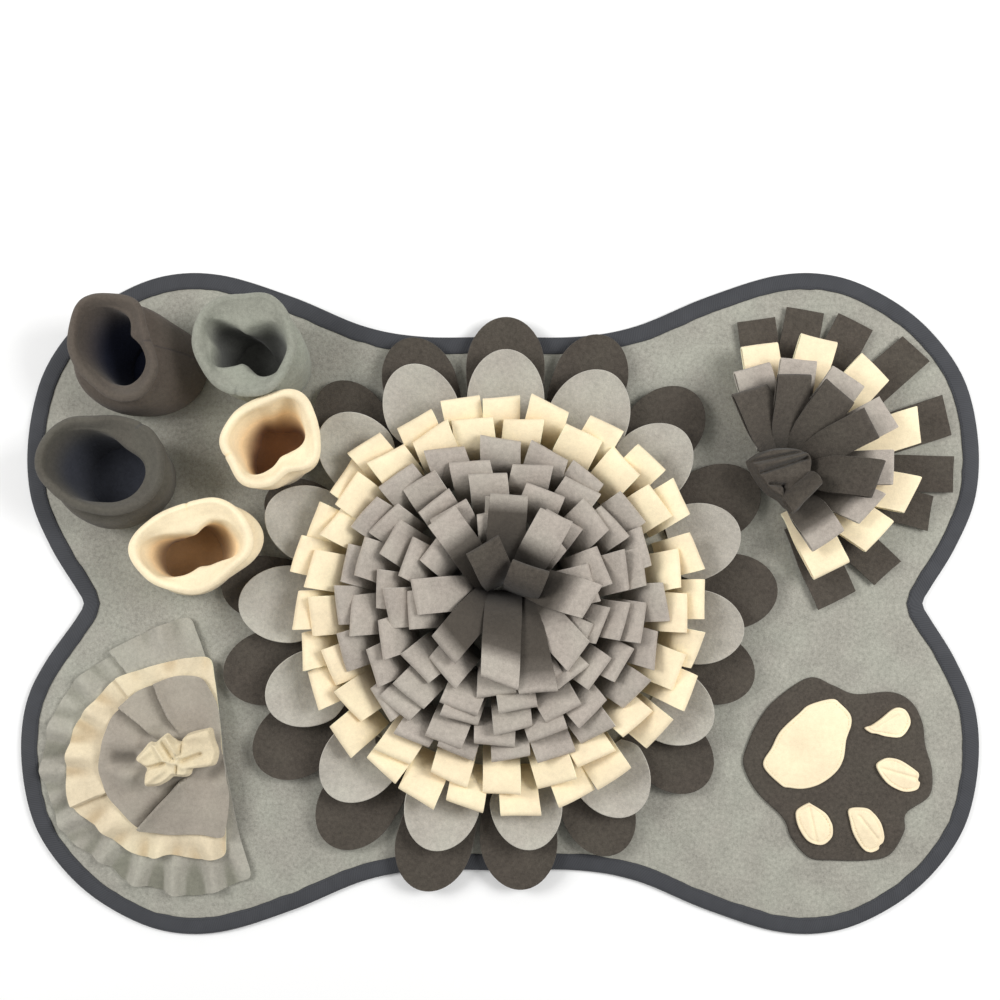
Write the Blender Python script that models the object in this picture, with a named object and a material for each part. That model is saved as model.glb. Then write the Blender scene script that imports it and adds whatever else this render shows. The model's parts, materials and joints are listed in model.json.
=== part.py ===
"""Snuffle mat: a bone-shaped fleece mat with a big looped flower, five open tubes,
a layered ruffle, a fan of strips and a paw patch sewn on it.

Metres, +Z up. The mat lies flat on the surface at z = 0, with its centre at the origin,
its long side along X. Run: blender --background --python part.py
"""
import math
import random
from collections import namedtuple

import bmesh
import bpy
from mathutils import Vector

# ---- Driving dimensions -----------------------------------------------------------
GAP = 0.0003              # air between two pieces that touch in the real mat
FLEECE = 0.002            # one layer of fleece

MAT_THICK = 0.0044        # face fleece, wadding and backing, sewn as one
TONGUE_LOW = 0.0014       # the mat's rim, pressed thin inside the binding
TONGUE_HIGH = 0.0034
BINDING_WIDTH = 0.015     # visible width of the edge tape
BINDING_HIGH = 0.0048
TAPE = 0.0011             # one layer of the edge tape
OUTLINE_STEPS = 72        # straight steps round the mat, a multiple of four

# A quarter of the bone outline, from the middle of the long side to the side notch.
QUARTER_OUTLINE = (
    (0.000, 0.278), (0.080, 0.278), (0.142, 0.289), (0.215, 0.319), (0.290, 0.342),
    (0.350, 0.341), (0.405, 0.318), (0.450, 0.282), (0.484, 0.232), (0.498, 0.170),
    (0.495, 0.110), (0.474, 0.058), (0.447, 0.014), (0.440, 0.000),
)

FLOOR_OF_TRIM = MAT_THICK + GAP     # lowest level of what is sewn on the mat

# ---- The flower -------------------------------------------------------------------
STRIP_WIDTH = 0.041       # width of the cut fleece strips
STRIP_GAP = 0.003         # least air between two strips of one backing
BACKING_HALF = 0.004      # half the width of a sewn backing strip
BACKING_HIGH = 0.003

CREAM_OUTER_ANGLES = (103, 88, 74, 59, 45, 31, 17, 4, -11, -26, -41, -57, -71, -85, -99,
                      -114, -128, -140, -153, -166, -179, -192, -204, -216, -230, -244)
CREAM_INNER_ANGLES = (98, 82, 65, 47, 31, 14, -4, -21, -39, -57, -73, -90, -109, -127,
                      -144, -161, -176, -191, -206, -219, -233, -248)
GREY_INNER_ANGLES = (93, 52, 14, -24, -60, -92, -128, -176, -221)
DARK_ANGLES = (93, 50, -22, -60, -92, -128, -222)


def round_the_turn(count, first):
    """Angles of strips sewn round by eye: nearly even, from the first one, clockwise."""
    chance = random.Random(count)
    return tuple(first - 360 / count * (i + chance.uniform(-0.06, 0.06)) for i in range(count))


LoopRing = namedtuple("LoopRing", "name colour angles root_r tip_r tip_z")
LOOP_RINGS = (
    LoopRing("loops_cream_outer", "cream", CREAM_OUTER_ANGLES, 0.170, 0.214, 0.043),
    LoopRing("loops_cream_inner", "cream", CREAM_INNER_ANGLES, 0.148, 0.188, 0.050),
    LoopRing("loops_grey_1", "grey", round_the_turn(20, 92), 0.129, 0.168, 0.056),
    LoopRing("loops_grey_2", "grey", round_the_turn(17, 100), 0.110, 0.147, 0.061),
    LoopRing("loops_grey_3", "grey", round_the_turn(14, 95), 0.091, 0.127, 0.065),
    LoopRing("loops_grey_4", "grey", round_the_turn(11, 86), 0.072, 0.106, 0.069),
    LoopRing("loops_grey_5", "grey", GREY_INNER_ANGLES, 0.052, 0.088, 0.072),
    LoopRing("loops_dark", "dark", DARK_ANGLES, 0.033, 0.066, 0.077),
)
CENTRE_STRIP = (0.030, 0.010)       # the backing of the two strips in the middle
CENTRE_TURN = -15                   # degrees that it is turned from X
CENTRE_ANGLES = (25, 155)           # where its two strips fold to, from the turned backing
CENTRE_TIP_R = 0.038
CENTRE_TIP_Z = 0.086

PETAL_RING_R = 0.186
PETAL_COLUMNS = 4
Petal = namedtuple("Petal", "angle tip_r width lift cup")
DARK_PETALS = (
    Petal(90, 0.292, 0.072, 0.010, 0.002), Petal(70, 0.288, 0.072, 0.010, 0.002),
    Petal(46, 0.288, 0.070, 0.008, 0.002), Petal(24, 0.288, 0.070, 0.008, 0.002),
    Petal(3.5, 0.290, 0.070, 0.008, 0.002), Petal(-16, 0.288, 0.070, 0.008, 0.002),
    Petal(-40, 0.286, 0.070, 0.008, 0.002), Petal(-63, 0.290, 0.070, 0.010, 0.002),
    Petal(-86, 0.294, 0.072, 0.010, 0.002), Petal(-104, 0.294, 0.070, 0.010, 0.002),
    Petal(-126, 0.286, 0.070, 0.008, 0.002), Petal(-146, 0.284, 0.070, 0.008, 0.002),
    Petal(-166, 0.280, 0.068, 0.008, 0.002), Petal(-190, 0.240, 0.062, 0.008, 0.001),
    Petal(-210, 0.236, 0.060, 0.008, 0.001), Petal(-232, 0.270, 0.062, 0.008, 0.002),
    Petal(-252, 0.284, 0.070, 0.010, 0.002),
)
GREY_PETALS = (
    Petal(90, 0.258, 0.070, 0.028, 0.004), Petal(68, 0.254, 0.070, 0.026, 0.004),
    Petal(40, 0.256, 0.070, 0.024, 0.004), Petal(17, 0.256, 0.070, 0.022, 0.004),
    Petal(-6, 0.256, 0.070, 0.024, 0.004), Petal(-29, 0.252, 0.068, 0.022, 0.004),
    Petal(-57, 0.254, 0.070, 0.024, 0.004), Petal(-83.5, 0.258, 0.070, 0.026, 0.004),
    Petal(-105, 0.256, 0.070, 0.024, 0.004), Petal(-130.5, 0.254, 0.068, 0.024, 0.004),
    Petal(-155, 0.250, 0.068, 0.024, 0.004), Petal(-181, 0.250, 0.068, 0.026, 0.004),
    Petal(-201, 0.244, 0.062, 0.028, 0.004), Petal(-226, 0.248, 0.064, 0.028, 0.004),
    Petal(-250, 0.256, 0.070, 0.028, 0.004),
)

# ---- The five tubes ---------------------------------------------------------------
TUBE_WALL = 0.005
TUBE_STEPS = 20
Tube = namedtuple("Tube", "name colour foot foot_half rim rim_half turn mouth mouth_half folds high")
TUBES = (
    Tube("tube_brown", "tube_brown", (-0.348, 0.241), (0.047, 0.044), (-0.382, 0.253), (0.043, 0.051),
         0, (0.003, 0.001), (0.030, 0.038), ((5, 0.008), (40, 0.003)), 0.078),
    Tube("tube_green", "tube_green", (-0.240, 0.244), (0.043, 0.039), (-0.252, 0.254), (0.050, 0.048),
         0, (0.002, 0.003), (0.039, 0.036), ((80, 0.010), (250, 0.013)), 0.078),
    Tube("tube_dark", "tube_dark", (-0.386, 0.128), (0.052, 0.044), (-0.394, 0.134), (0.061, 0.048),
         -12, (-0.006, 0.002), (0.048, 0.035), ((40, 0.007), (215, 0.003)), 0.074),
    Tube("tube_cream_tall", "cream", (-0.232, 0.160), (0.038, 0.037), (-0.227, 0.162), (0.048, 0.043),
         0, (-0.001, 0.001), (0.036, 0.033), ((190, 0.006), (110, 0.005)), 0.074),
    Tube("tube_cream_wide", "cream", (-0.300, 0.054), (0.052, 0.040), (-0.306, 0.059), (0.061, 0.044),
         15, (-0.002, 0.003), (0.050, 0.029), ((60, 0.007), (280, 0.002)), 0.070),
)

# ---- The layered ruffle -----------------------------------------------------------
RUFFLE_CENTRE = (-0.332, -0.160)
RUFFLE_STEPS = 40
RUFFLE_WAVES = 9
RUFFLE_GATHER_R = 0.014
# Reach of each layer from the centre, every 30 degrees from +X, anticlockwise.
RuffleLayer = namedtuple("RuffleLayer", "name colour reach foot rise pleat")
RUFFLE_LAYERS = (
    RuffleLayer("ruffle_bottom", "grey",
                (0.048, 0.056, 0.092, 0.145, 0.130, 0.132, 0.143, 0.151, 0.146, 0.143, 0.142, 0.068),
                0.0085, 0.003, 0.0022),
    RuffleLayer("ruffle_middle", "cream",
                (0.045, 0.053, 0.082, 0.104, 0.100, 0.108, 0.116, 0.117, 0.108, 0.106, 0.112, 0.064),
                0.0130, 0.005, 0.0022),
    RuffleLayer("ruffle_top", "grey",
                (0.042, 0.050, 0.074, 0.086, 0.080, 0.078, 0.082, 0.086, 0.084, 0.083, 0.093, 0.060),
                0.0200, 0.010, 0.0022),
)
BOW_CENTRE = (-0.333, -0.160, 0.0415)
BOW_TURN = 12
BOW_HALF = 0.043
# Along the bow from its middle: share of the half length, half depth, half height.
BOW_SECTIONS = ((-1.0, 0.019, 0.004), (-0.8, 0.023, 0.007), (-0.4, 0.018, 0.008), (0.0, 0.010, 0.006),
                (0.4, 0.018, 0.008), (0.8, 0.023, 0.007), (1.0, 0.019, 0.004))
BOW_SIDES = 8

# ---- The fan of strips ------------------------------------------------------------
FAN_ROOT = (0.287, 0.137)
FAN_EDGES = (128, -80)              # angles where the fan begins and ends
FanLayer = namedtuple("FanLayer", "name colour angles root_r tips tip_z")
FAN_LAYERS = (
    FanLayer("fan_tabs", "dark", (104, 82, 60, 38, 17, -3, -24, -46, -68), 0.058,
             (0.162, 0.168, 0.172, 0.174, 0.172, 0.172, 0.166, 0.162, 0.156), 0.012),
    FanLayer("fan_cream", "cream", (105, 77, 49, 21, -7, -35, -64), 0.043,
             (0.132, 0.140, 0.144, 0.142, 0.138, 0.132, 0.126), 0.036),
    FanLayer("fan_grey", "grey", (112, 88, 60, 30, 2, -27, -61), 0.028,
             (0.098, 0.102, 0.104, 0.104, 0.102, 0.100, 0.096), 0.050),
    FanLayer("fan_dark", "dark", (116, 88, 58, 28, -4, -52), 0.014,
             (0.092, 0.096, 0.100, 0.102, 0.098, 0.090), 0.066),
)

# ---- The paw patch ----------------------------------------------------------------
PAW_CENTRE = (0.352, -0.178)
PATCH_THICK = 0.0025
# Outline of the patch round its centre, anticlockwise from the heel's upper corner.
PATCH_OUTLINE = (
    (-0.031, 0.101), (-0.066, 0.078), (-0.084, 0.055), (-0.095, 0.031), (-0.099, 0.010),
    (-0.085, -0.018), (-0.058, -0.045), (-0.049, -0.066), (-0.031, -0.086), (-0.006, -0.089),
    (0.029, -0.089), (0.053, -0.083), (0.068, -0.059), (0.070, -0.040), (0.094, -0.022),
    (0.097, 0.004), (0.090, 0.030), (0.087, 0.054), (0.076, 0.075), (0.055, 0.086),
    (0.017, 0.084), (-0.006, 0.093),
)
MAIN_PAD_OUTLINE = (
    (-0.008, 0.079), (-0.037, 0.071), (-0.056, 0.052), (-0.070, 0.028), (-0.081, 0.008),
    (-0.058, -0.012), (-0.044, -0.016), (-0.028, -0.012), (-0.006, 0.002), (0.004, 0.022),
    (0.009, 0.043), (0.012, 0.058), (0.006, 0.071),
)
PAD_LOW = FLOOR_OF_TRIM + PATCH_THICK + GAP
PAD_THICK = 0.003
ToePad = namedtuple("ToePad", "name centre length width turn")
TOE_PADS = (
    ToePad("toe_pad_upper", (0.054, 0.054), 0.049, 0.031, 8),
    ToePad("toe_pad_right", (0.062, 0.001), 0.046, 0.030, -15),
    ToePad("toe_pad_lower", (0.030, -0.057), 0.052, 0.033, -60),
    ToePad("toe_pad_left", (-0.026, -0.050), 0.046, 0.036, -75),
)
TOE_STEPS = 12

# ---- Finishes ---------------------------------------------------------------------
Finish = namedtuple("Finish", "red green blue roughness")
FINISHES = {
    "mat": Finish(0.30, 0.29, 0.27, 0.95),
    "binding": Finish(0.060, 0.063, 0.075, 0.85),
    "dark": Finish(0.072, 0.062, 0.055, 0.95),
    "grey": Finish(0.30, 0.28, 0.265, 0.95),
    "cream": Finish(0.91, 0.79, 0.55, 0.95),
    "tube_brown": Finish(0.065, 0.050, 0.047, 0.95),
    "tube_green": Finish(0.20, 0.205, 0.19, 0.95),
    "tube_dark": Finish(0.055, 0.052, 0.055, 0.95),
}


# ---- Helpers ----------------------------------------------------------------------
def clear_scene():
    for thing in list(bpy.data.objects):
        bpy.data.objects.remove(thing, do_unlink=True)


def material(slot):
    found = bpy.data.materials.get(slot)
    if found:
        return found
    made = bpy.data.materials.new(slot)
    made.use_nodes = True
    finish = FINISHES[slot]
    shader = made.node_tree.nodes["Principled BSDF"]
    shader.inputs["Base Color"].default_value = (finish.red, finish.green, finish.blue, 1)
    shader.inputs["Roughness"].default_value = finish.roughness
    shader.inputs["Metallic"].default_value = 0
    return made


def new_object(name, bm, slot, collection, place=(0, 0, 0), parent=None):
    """Turn a bmesh into a named, placed object of the mat."""
    bmesh.ops.recalc_face_normals(bm, faces=bm.faces)
    mesh = bpy.data.meshes.new(name)
    bm.to_mesh(mesh)
    bm.free()
    mesh.materials.append(material(slot))
    made = bpy.data.objects.new(name, mesh)
    made.location = place
    made.parent = parent
    collection.objects.link(made)
    return made


def smooth_closed(points, steps):
    """A smooth closed curve through the points, in equal steps from the first point."""
    dense = []
    count = len(points)
    for i in range(count):
        a, b, c, d = (Vector(points[(i + k) % count]) for k in (-1, 0, 1, 2))
        for k in range(24):
            t = k / 24
            dense.append(0.5 * (2 * b + (c - a) * t + (2 * a - 5 * b + 4 * c - d) * t ** 2
                                + (3 * b - a - 3 * c + d) * t ** 3))
    dense.append(dense[0])
    lengths = [0.0]
    for a, b in zip(dense, dense[1:]):
        lengths.append(lengths[-1] + (b - a).length)
    result = []
    at = 0
    for step in range(steps):
        want = lengths[-1] * step / steps
        while lengths[at + 1] < want:
            at += 1
        share = (want - lengths[at]) / (lengths[at + 1] - lengths[at])
        result.append(dense[at].lerp(dense[at + 1], share))
    return result


def inset(outline, distance):
    """Move each point of an anticlockwise outline inwards along its normal."""
    moved = []
    for before, here, after in zip(outline[-1:] + outline[:-1], outline, outline[1:] + outline[:1]):
        along = (after - before).normalized()
        moved.append(here + Vector((-along.y, along.x)) * distance)
    return moved


def mat_outline():
    """The whole bone, anticlockwise from the right notch: the quarter, mirrored twice."""
    first = [(x, y) for x, y in reversed(QUARTER_OUTLINE)]
    left = [(-x, y) for x, y in reversed(first[:-1])]
    below = [(-x, -y) for x, y in first[1:]]
    right = [(x, -y) for x, y in reversed(first[1:-1])]
    return smooth_closed(first + left + below + right, OUTLINE_STEPS)


def loft(bm, sections, closed=False):
    """Join rings of points one after another; close the tube, or cap its two ends."""
    rings = [[bm.verts.new(point) for point in section] for section in sections]
    pairs = list(zip(rings, rings[1:]))
    if closed:
        pairs.append((rings[-1], rings[0]))
    for lower, upper in pairs:
        for i, vert in enumerate(lower):
            bm.faces.new((lower[i - 1], vert, upper[i], upper[i - 1]))
    if not closed:
        for end in (rings[0], rings[-1]):
            bm.faces.new(end)


def level(points, height):
    return [Vector((p.x, p.y, height)) for p in points]


def polar(radius, angle):
    return Vector((math.cos(angle), math.sin(angle), 0)) * radius


# ---- Backing strips and what grows out of them -------------------------------------
def cuts_between(angles, edges=None):
    """Angles where one strip's place on the backing ends and the next one's begins."""
    middles = [(a + b) / 2 for a, b in zip(angles, angles[1:])]
    if edges:
        return [edges[0]] + middles + [edges[1]]
    seam = (angles[0] + angles[-1] + 360) / 2
    return [seam] + middles + [seam - 360]


def backing(bm, cuts, columns, radii, heights, closed):
    """Sweep a short edge through the angles and raise the strip to its thickness."""
    stops = [math.radians(cuts[0])]
    for a, b in zip(cuts, cuts[1:]):
        stops += [math.radians(a + (b - a) * k / columns) for k in range(1, columns + 1)]
    ends = [bm.verts.new(polar(r, stops[0]) + Vector((0, 0, heights[0]))) for r in radii]
    edge = bm.edges.new(ends)
    for stop in stops[1:]:
        grown = bmesh.ops.extrude_edge_only(bm, edges=[edge])["geom"]
        edge = next(g for g in grown if isinstance(g, bmesh.types.BMEdge))
        ends = [g for g in grown if isinstance(g, bmesh.types.BMVert)]
        ends.sort(key=lambda v: v.co.xy.length)
        for vert, radius in zip(ends, sorted(radii)):
            vert.co = polar(radius, stop) + Vector((0, 0, heights[0]))
    if closed:
        bmesh.ops.remove_doubles(bm, verts=bm.verts, dist=0.00005)
    raised = bmesh.ops.extrude_face_region(bm, geom=bm.faces[:])["geom"]
    for vert in (g for g in raised if isinstance(g, bmesh.types.BMVert)):
        vert.co.z = heights[1]
    bmesh.ops.recalc_face_normals(bm, faces=bm.faces)
    bm.normal_update()


def angle_below(point, highest):
    """The point's angle in degrees, in the turn that ends at the highest angle."""
    angle = math.degrees(math.atan2(point.y, point.x))
    return highest - (highest - angle) % 360


def faces_of_strip(bm, start, stop, upward):
    """The backing's faces between two angles: those on top, or those on its outer side."""
    found = []
    for face in bm.faces:
        centre = face.calc_center_median()
        outward = face.normal.dot(Vector((centre.x, centre.y, 0)).normalized())
        faces_right_way = face.normal.z > 0.9 if upward else outward > 0.7
        if faces_right_way and stop < angle_below(centre, start) < start:
            found.append(face)
    return found


def draw_out(bm, faces, spot_of, place, steps):
    """Extrude a patch of faces step by step. spot_of gives a root point's place across
    and through the strip; place gives where that spot is at each step."""
    spots = {}
    for face in faces:
        for vert in face.verts:
            spots[vert.co.copy().freeze()] = spot_of(vert.co)
    for step in steps:
        grown = bmesh.ops.extrude_face_region(bm, geom=faces)["geom"]
        left_inside = [f for f in faces if f.is_valid]
        bmesh.ops.delete(bm, geom=left_inside, context="FACES")
        faces = [g for g in grown if isinstance(g, bmesh.types.BMFace)]
        moved = {}
        for vert in (g for g in grown if isinstance(g, bmesh.types.BMVert)):
            across, through = spots[vert.co.copy().freeze()]
            vert.co = place(step, across, through)
            moved[vert.co.copy().freeze()] = (across, through)
        spots = moved


def curve_point(root, bend, tip, t):
    """A point and direction on the curve from root to tip, both as (reach, height)."""
    point = root * (1 - t) ** 2 + bend * 2 * t * (1 - t) + tip * t ** 2
    along = ((bend - root) * (1 - t) + (tip - bend) * t).normalized()
    return point, along


# How a strip's curve leaves its root: shares of the way to the tip, outwards and upwards.
STANDING = (0.14, 0.88)
UPRIGHT = (0.10, 0.95)
LYING = (0.50, 0.60)

# Share of the way along a folded strip, and its thickness there.
STRIP_STATIONS = ((0.20, 0.0055), (0.52, 0.0060), (0.84, 0.0070), (1.0, 0.0050))


def folded_strip(bm, faces, angle, root, tip, room, pull, flat=False):
    """A strip that stands on its backing, or lies out from it, with its fold at the tip.
    room is the width it has at its root; pull says how its curve leaves the root."""
    outward = polar(1, angle)
    aside = Vector((-outward.y, outward.x, 0))
    root, tip = Vector(root), Vector(tip)
    bend = Vector((root.x + (tip.x - root.x) * pull[0], root.y + (tip.y - root.y) * pull[1]))
    centre = sum((f.calc_center_median() for f in faces), Vector()) / len(faces)

    def spot_of(co):
        local = co - centre
        through = -local.z if flat else local.dot(outward)
        return math.copysign(1, local.dot(aside)), math.copysign(1, through)

    def place(station, across, through):
        t, thickness = station
        (reach, height), along = curve_point(root, bend, tip, t)
        thickness = FLEECE if flat else thickness
        inner_reach = reach - along.y * thickness / 2
        half = min(STRIP_WIDTH, room * inner_reach / root.x - STRIP_GAP) / 2
        outer = outward * along.y + Vector((0, 0, -along.x))
        middle = outward * reach + Vector((0, 0, height))
        return middle + aside * across * half + outer * through * thickness / 2

    draw_out(bm, faces, spot_of, place, STRIP_STATIONS)


# ---- The pieces -------------------------------------------------------------------
def build_mat(collection):
    outline = mat_outline()
    shoulder = inset(outline, BINDING_WIDTH + GAP)
    rim = inset(outline, TAPE + GAP)
    bm = bmesh.new()
    loft(bm, [level(shoulder, 0), level(shoulder, TONGUE_LOW), level(rim, TONGUE_LOW),
              level(rim, TONGUE_HIGH), level(shoulder, TONGUE_HIGH), level(shoulder, MAT_THICK)])
    new_object("mat", bm, "mat", collection)


def build_binding(collection):
    """The edge tape: a C-shaped section folded round the mat's rim."""
    outline = mat_outline()
    wall = inset(outline, TAPE)
    flange = inset(outline, BINDING_WIDTH)
    bm = bmesh.new()
    loft(bm, [level(outline, 0), level(flange, 0), level(flange, TAPE), level(wall, TAPE),
              level(wall, BINDING_HIGH - TAPE), level(flange, BINDING_HIGH - TAPE),
              level(flange, BINDING_HIGH), level(outline, BINDING_HIGH)], closed=True)
    new_object("binding", bm, "binding", collection)


def build_petals(name, slot, petals, foot, collection, parent):
    """Round-ended petals that lie out from one backing ring."""
    bm = bmesh.new()
    cuts = cuts_between([p.angle for p in petals])
    radii = (PETAL_RING_R - BACKING_HALF, PETAL_RING_R + BACKING_HALF)
    backing(bm, cuts, PETAL_COLUMNS, radii, (foot, foot + FLEECE), True)
    root = radii[1]
    for petal, start, stop in zip(petals, cuts, cuts[1:]):
        faces = faces_of_strip(bm, start, stop, upward=False)
        middle, half_turn = (start + stop) / 2, (start - stop) / 2
        outward = polar(1, math.radians(petal.angle))
        aside = Vector((-outward.y, outward.x, 0))

        def spot_of(co):
            across = (angle_below(co, start + 1) - middle) / half_turn
            return across, math.copysign(1, co.z - foot - FLEECE / 2)

        def place(step, across, through):
            share, breadth = step
            reach = root + (petal.tip_r - root) * share - 0.27 * petal.width * (across * share) ** 2
            lift = petal.lift * share ** 1.2 + petal.cup * (across ** 2) * math.sin(math.pi * share * 0.8)
            height = foot + FLEECE / 2 + lift + through * FLEECE / 2
            return outward * reach + aside * across * petal.width / 2 * breadth + Vector((0, 0, height))

        draw_out(bm, faces, spot_of, place, ((0.14, 0.80), (0.42, 0.96), (0.74, 1.0), (1.0, 0.90)))
    new_object(name, bm, slot, collection, parent=parent)


def build_loop_ring(ring, collection, parent):
    """Folded strips that stand on one backing ring and bend outwards."""
    chance = random.Random(ring.name)
    cuts = cuts_between(ring.angles)
    corner = math.cos(math.pi / len(ring.angles))
    radii = ((ring.root_r - BACKING_HALF) / corner, (ring.root_r + BACKING_HALF) / corner)
    top = FLOOR_OF_TRIM + BACKING_HIGH
    bm = bmesh.new()
    backing(bm, cuts, 1, radii, (FLOOR_OF_TRIM, top), True)
    for start, stop in zip(cuts, cuts[1:]):
        faces = faces_of_strip(bm, start, stop, upward=True)
        room = 2 * ring.root_r * math.tan(math.radians(start - stop) / 2)
        tip = (ring.tip_r + chance.uniform(-0.004, 0.004), ring.tip_z + chance.uniform(-0.0015, 0.0015))
        folded_strip(bm, faces, math.radians((start + stop) / 2), (ring.root_r, top), tip, room, STANDING)
    new_object(ring.name, bm, ring.colour, collection, parent=parent)


def build_centre_strips(collection, parent):
    """Two dark strips on a short backing in the flower's middle, folded outwards."""
    long_side, short_side = CENTRE_STRIP
    bm = bmesh.new()
    bmesh.ops.create_grid(bm, x_segments=2, y_segments=1, size=0.5)
    bmesh.ops.scale(bm, vec=(long_side, short_side, 1), verts=bm.verts)
    bmesh.ops.translate(bm, vec=(0, 0, FLOOR_OF_TRIM), verts=bm.verts)
    raised = bmesh.ops.extrude_face_region(bm, geom=bm.faces[:])["geom"]
    for vert in (g for g in raised if isinstance(g, bmesh.types.BMVert)):
        vert.co.z += BACKING_HIGH
    bmesh.ops.recalc_face_normals(bm, faces=bm.faces)
    bm.normal_update()
    for turn in CENTRE_ANGLES:
        angle = math.radians(turn)
        faces = [f for f in bm.faces
                 if f.normal.z > 0.9 and f.calc_center_median().dot(polar(1, angle)) > 0]
        root = (long_side / 4, FLOOR_OF_TRIM + BACKING_HIGH)
        folded_strip(bm, faces, angle, root, (CENTRE_TIP_R, CENTRE_TIP_Z), short_side + STRIP_GAP, UPRIGHT)
    made = new_object("centre_strips", bm, "dark", collection, parent=parent)
    made.rotation_euler.z = math.radians(CENTRE_TURN)


def oval(half, angle, turn):
    """Reach of an oval with these half sizes, turned by some degrees, at an angle."""
    local = angle - math.radians(turn)
    return 1 / math.hypot(math.cos(local) / half[0], math.sin(local) / half[1])


def build_tube(tube, collection):
    """A standing tube of fleece with a thick turned-over rim and a pinched mouth."""
    foot, rim = Vector(tube.foot), Vector(tube.rim)
    lean = rim - foot
    top = tube.high

    def section(height, shift, reach_at):
        points = []
        for step in range(TUBE_STEPS):
            angle = 2 * math.pi * step / TUBE_STEPS
            spot = polar(reach_at(angle), angle)
            points.append(Vector((spot.x + shift.x, spot.y + shift.y, height)))
        return points

    def mouth_at(angle):
        reach = oval(tube.mouth_half, angle, tube.turn)
        for place, depth in tube.folds:
            away = (math.degrees(angle) - place + 180) % 360 - 180
            reach -= depth * math.exp(-(away / 24) ** 2)
        return reach

    def outer_at(share, swell=0.0):
        return lambda a: (oval(tube.foot_half, a, tube.turn) * (1 - share)
                          + oval(tube.rim_half, a, tube.turn) * share + swell)

    def inner_at(share):
        return lambda a: (oval(tube.foot_half, a, tube.turn) - TUBE_WALL) * (1 - share) + mouth_at(a) * share

    mouth_shift = lean + Vector(tube.mouth)
    bm = bmesh.new()
    loft(bm, [
        section(FLOOR_OF_TRIM, Vector((0, 0)), outer_at(0)),
        section(top * 0.42, lean * 0.3, outer_at(0.25)),
        section(top * 0.72, lean * 0.8, outer_at(0.85)),
        section(top * 0.90, lean, outer_at(1.0)),
        section(top, lean * 0.95 + mouth_shift * 0.05, outer_at(1.0, -0.007)),
        section(top * 0.93, mouth_shift, mouth_at),
        section(top * 0.60, mouth_shift * 0.7, inner_at(0.7)),
        section(FLOOR_OF_TRIM, Vector((0, 0)), inner_at(0)),
    ], closed=True)
    new_object(tube.name, bm, tube.colour, collection, place=(foot.x, foot.y, 0))


def reach_between(table, angle):
    """Smoothly read a table that has a value for equal steps of a turn."""
    place = angle / (2 * math.pi) * len(table)
    at = int(place)
    a, b = table[at % len(table)], table[(at + 1) % len(table)]
    t = place - at
    return a + (b - a) * t * t * (3 - 2 * t)


def build_ruffle(layer, collection, parent):
    """One gathered round of fleece, its pleats running out from the bow."""
    rings = ((RUFFLE_GATHER_R, 0.0), (None, 0.35), (None, 1.0))

    def section(ring, side):
        inner, share = ring
        points = []
        for step in range(RUFFLE_STEPS):
            angle = 2 * math.pi * step / RUFFLE_STEPS
            wave = math.cos(RUFFLE_WAVES * angle)
            edge = reach_between(layer.reach, angle) * (1 + 0.02 * wave)
            reach = inner if inner else RUFFLE_GATHER_R + (edge - RUFFLE_GATHER_R) * share
            pleat = layer.pleat * min(1, share * 1.6) * wave
            height = layer.foot + layer.rise * (1 - share ** 1.5) + pleat + side * FLEECE / 2
            spot = polar(reach, angle)
            points.append(Vector((spot.x, spot.y, height)))
        return points

    bm = bmesh.new()
    loft(bm, [section(ring, -1) for ring in rings] + [section(ring, 1) for ring in reversed(rings)])
    new_object(layer.name, bm, layer.colour, collection, parent=parent)


def build_bow(collection):
    """The cream bow on the ruffle: two puffed ends drawn in at the middle."""
    bm = bmesh.new()
    sections = []
    for share, depth, height in BOW_SECTIONS:
        ring = []
        for side in range(BOW_SIDES):
            angle = 2 * math.pi * (side + 0.5) / BOW_SIDES
            ring.append(Vector((share * BOW_HALF, math.cos(angle) * depth, math.sin(angle) * height)))
        sections.append(ring)
    loft(bm, sections)
    made = new_object("bow", bm, "cream", collection, place=BOW_CENTRE)
    made.rotation_euler.z = math.radians(BOW_TURN)


def build_fan_layer(layer, collection, parent):
    """Strips that spread from the fan's gathered root: flat tabs, or folded strips."""
    flat = layer.name == "fan_tabs"
    cuts = cuts_between(layer.angles, FAN_EDGES)
    radii = (layer.root_r - BACKING_HALF, layer.root_r + BACKING_HALF)
    high = FLOOR_OF_TRIM + (FLEECE if flat else BACKING_HIGH)
    bm = bmesh.new()
    backing(bm, cuts, 1, radii, (FLOOR_OF_TRIM, high), False)
    for angle, tip_r, start, stop in zip(layer.angles, layer.tips, cuts, cuts[1:]):
        faces = faces_of_strip(bm, start, stop, upward=not flat)
        root_r = radii[1] if flat else layer.root_r
        root = (root_r, (FLOOR_OF_TRIM + high) / 2 if flat else high)
        room = 2 * root_r * math.tan(math.radians(min(start - angle, angle - stop)))
        pull = LYING if flat else UPRIGHT
        folded_strip(bm, faces, math.radians(angle), root, (tip_r, layer.tip_z), room, pull, flat)
    new_object(layer.name, bm, layer.colour, collection, parent=parent)


def build_patch(name, slot, outline, thick, low, collection, parent):
    """A flat patch: a smooth 2D outline, filled and raised to its thickness."""
    curve = bpy.data.curves.new(name, "CURVE")
    curve.dimensions = "2D"
    curve.fill_mode = "BOTH"
    curve.extrude = thick / 2
    curve.resolution_u = 2
    spline = curve.splines.new("BEZIER")
    spline.bezier_points.add(len(outline) - 1)
    for point, (x, y) in zip(spline.bezier_points, outline):
        point.co = (x, y, 0)
        point.handle_left_type = point.handle_right_type = "AUTO"
    spline.use_cyclic_u = True
    curve.materials.append(material(slot))
    made = bpy.data.objects.new(name, curve)
    made.location.z = low + thick / 2
    made.parent = parent
    collection.objects.link(made)


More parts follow.
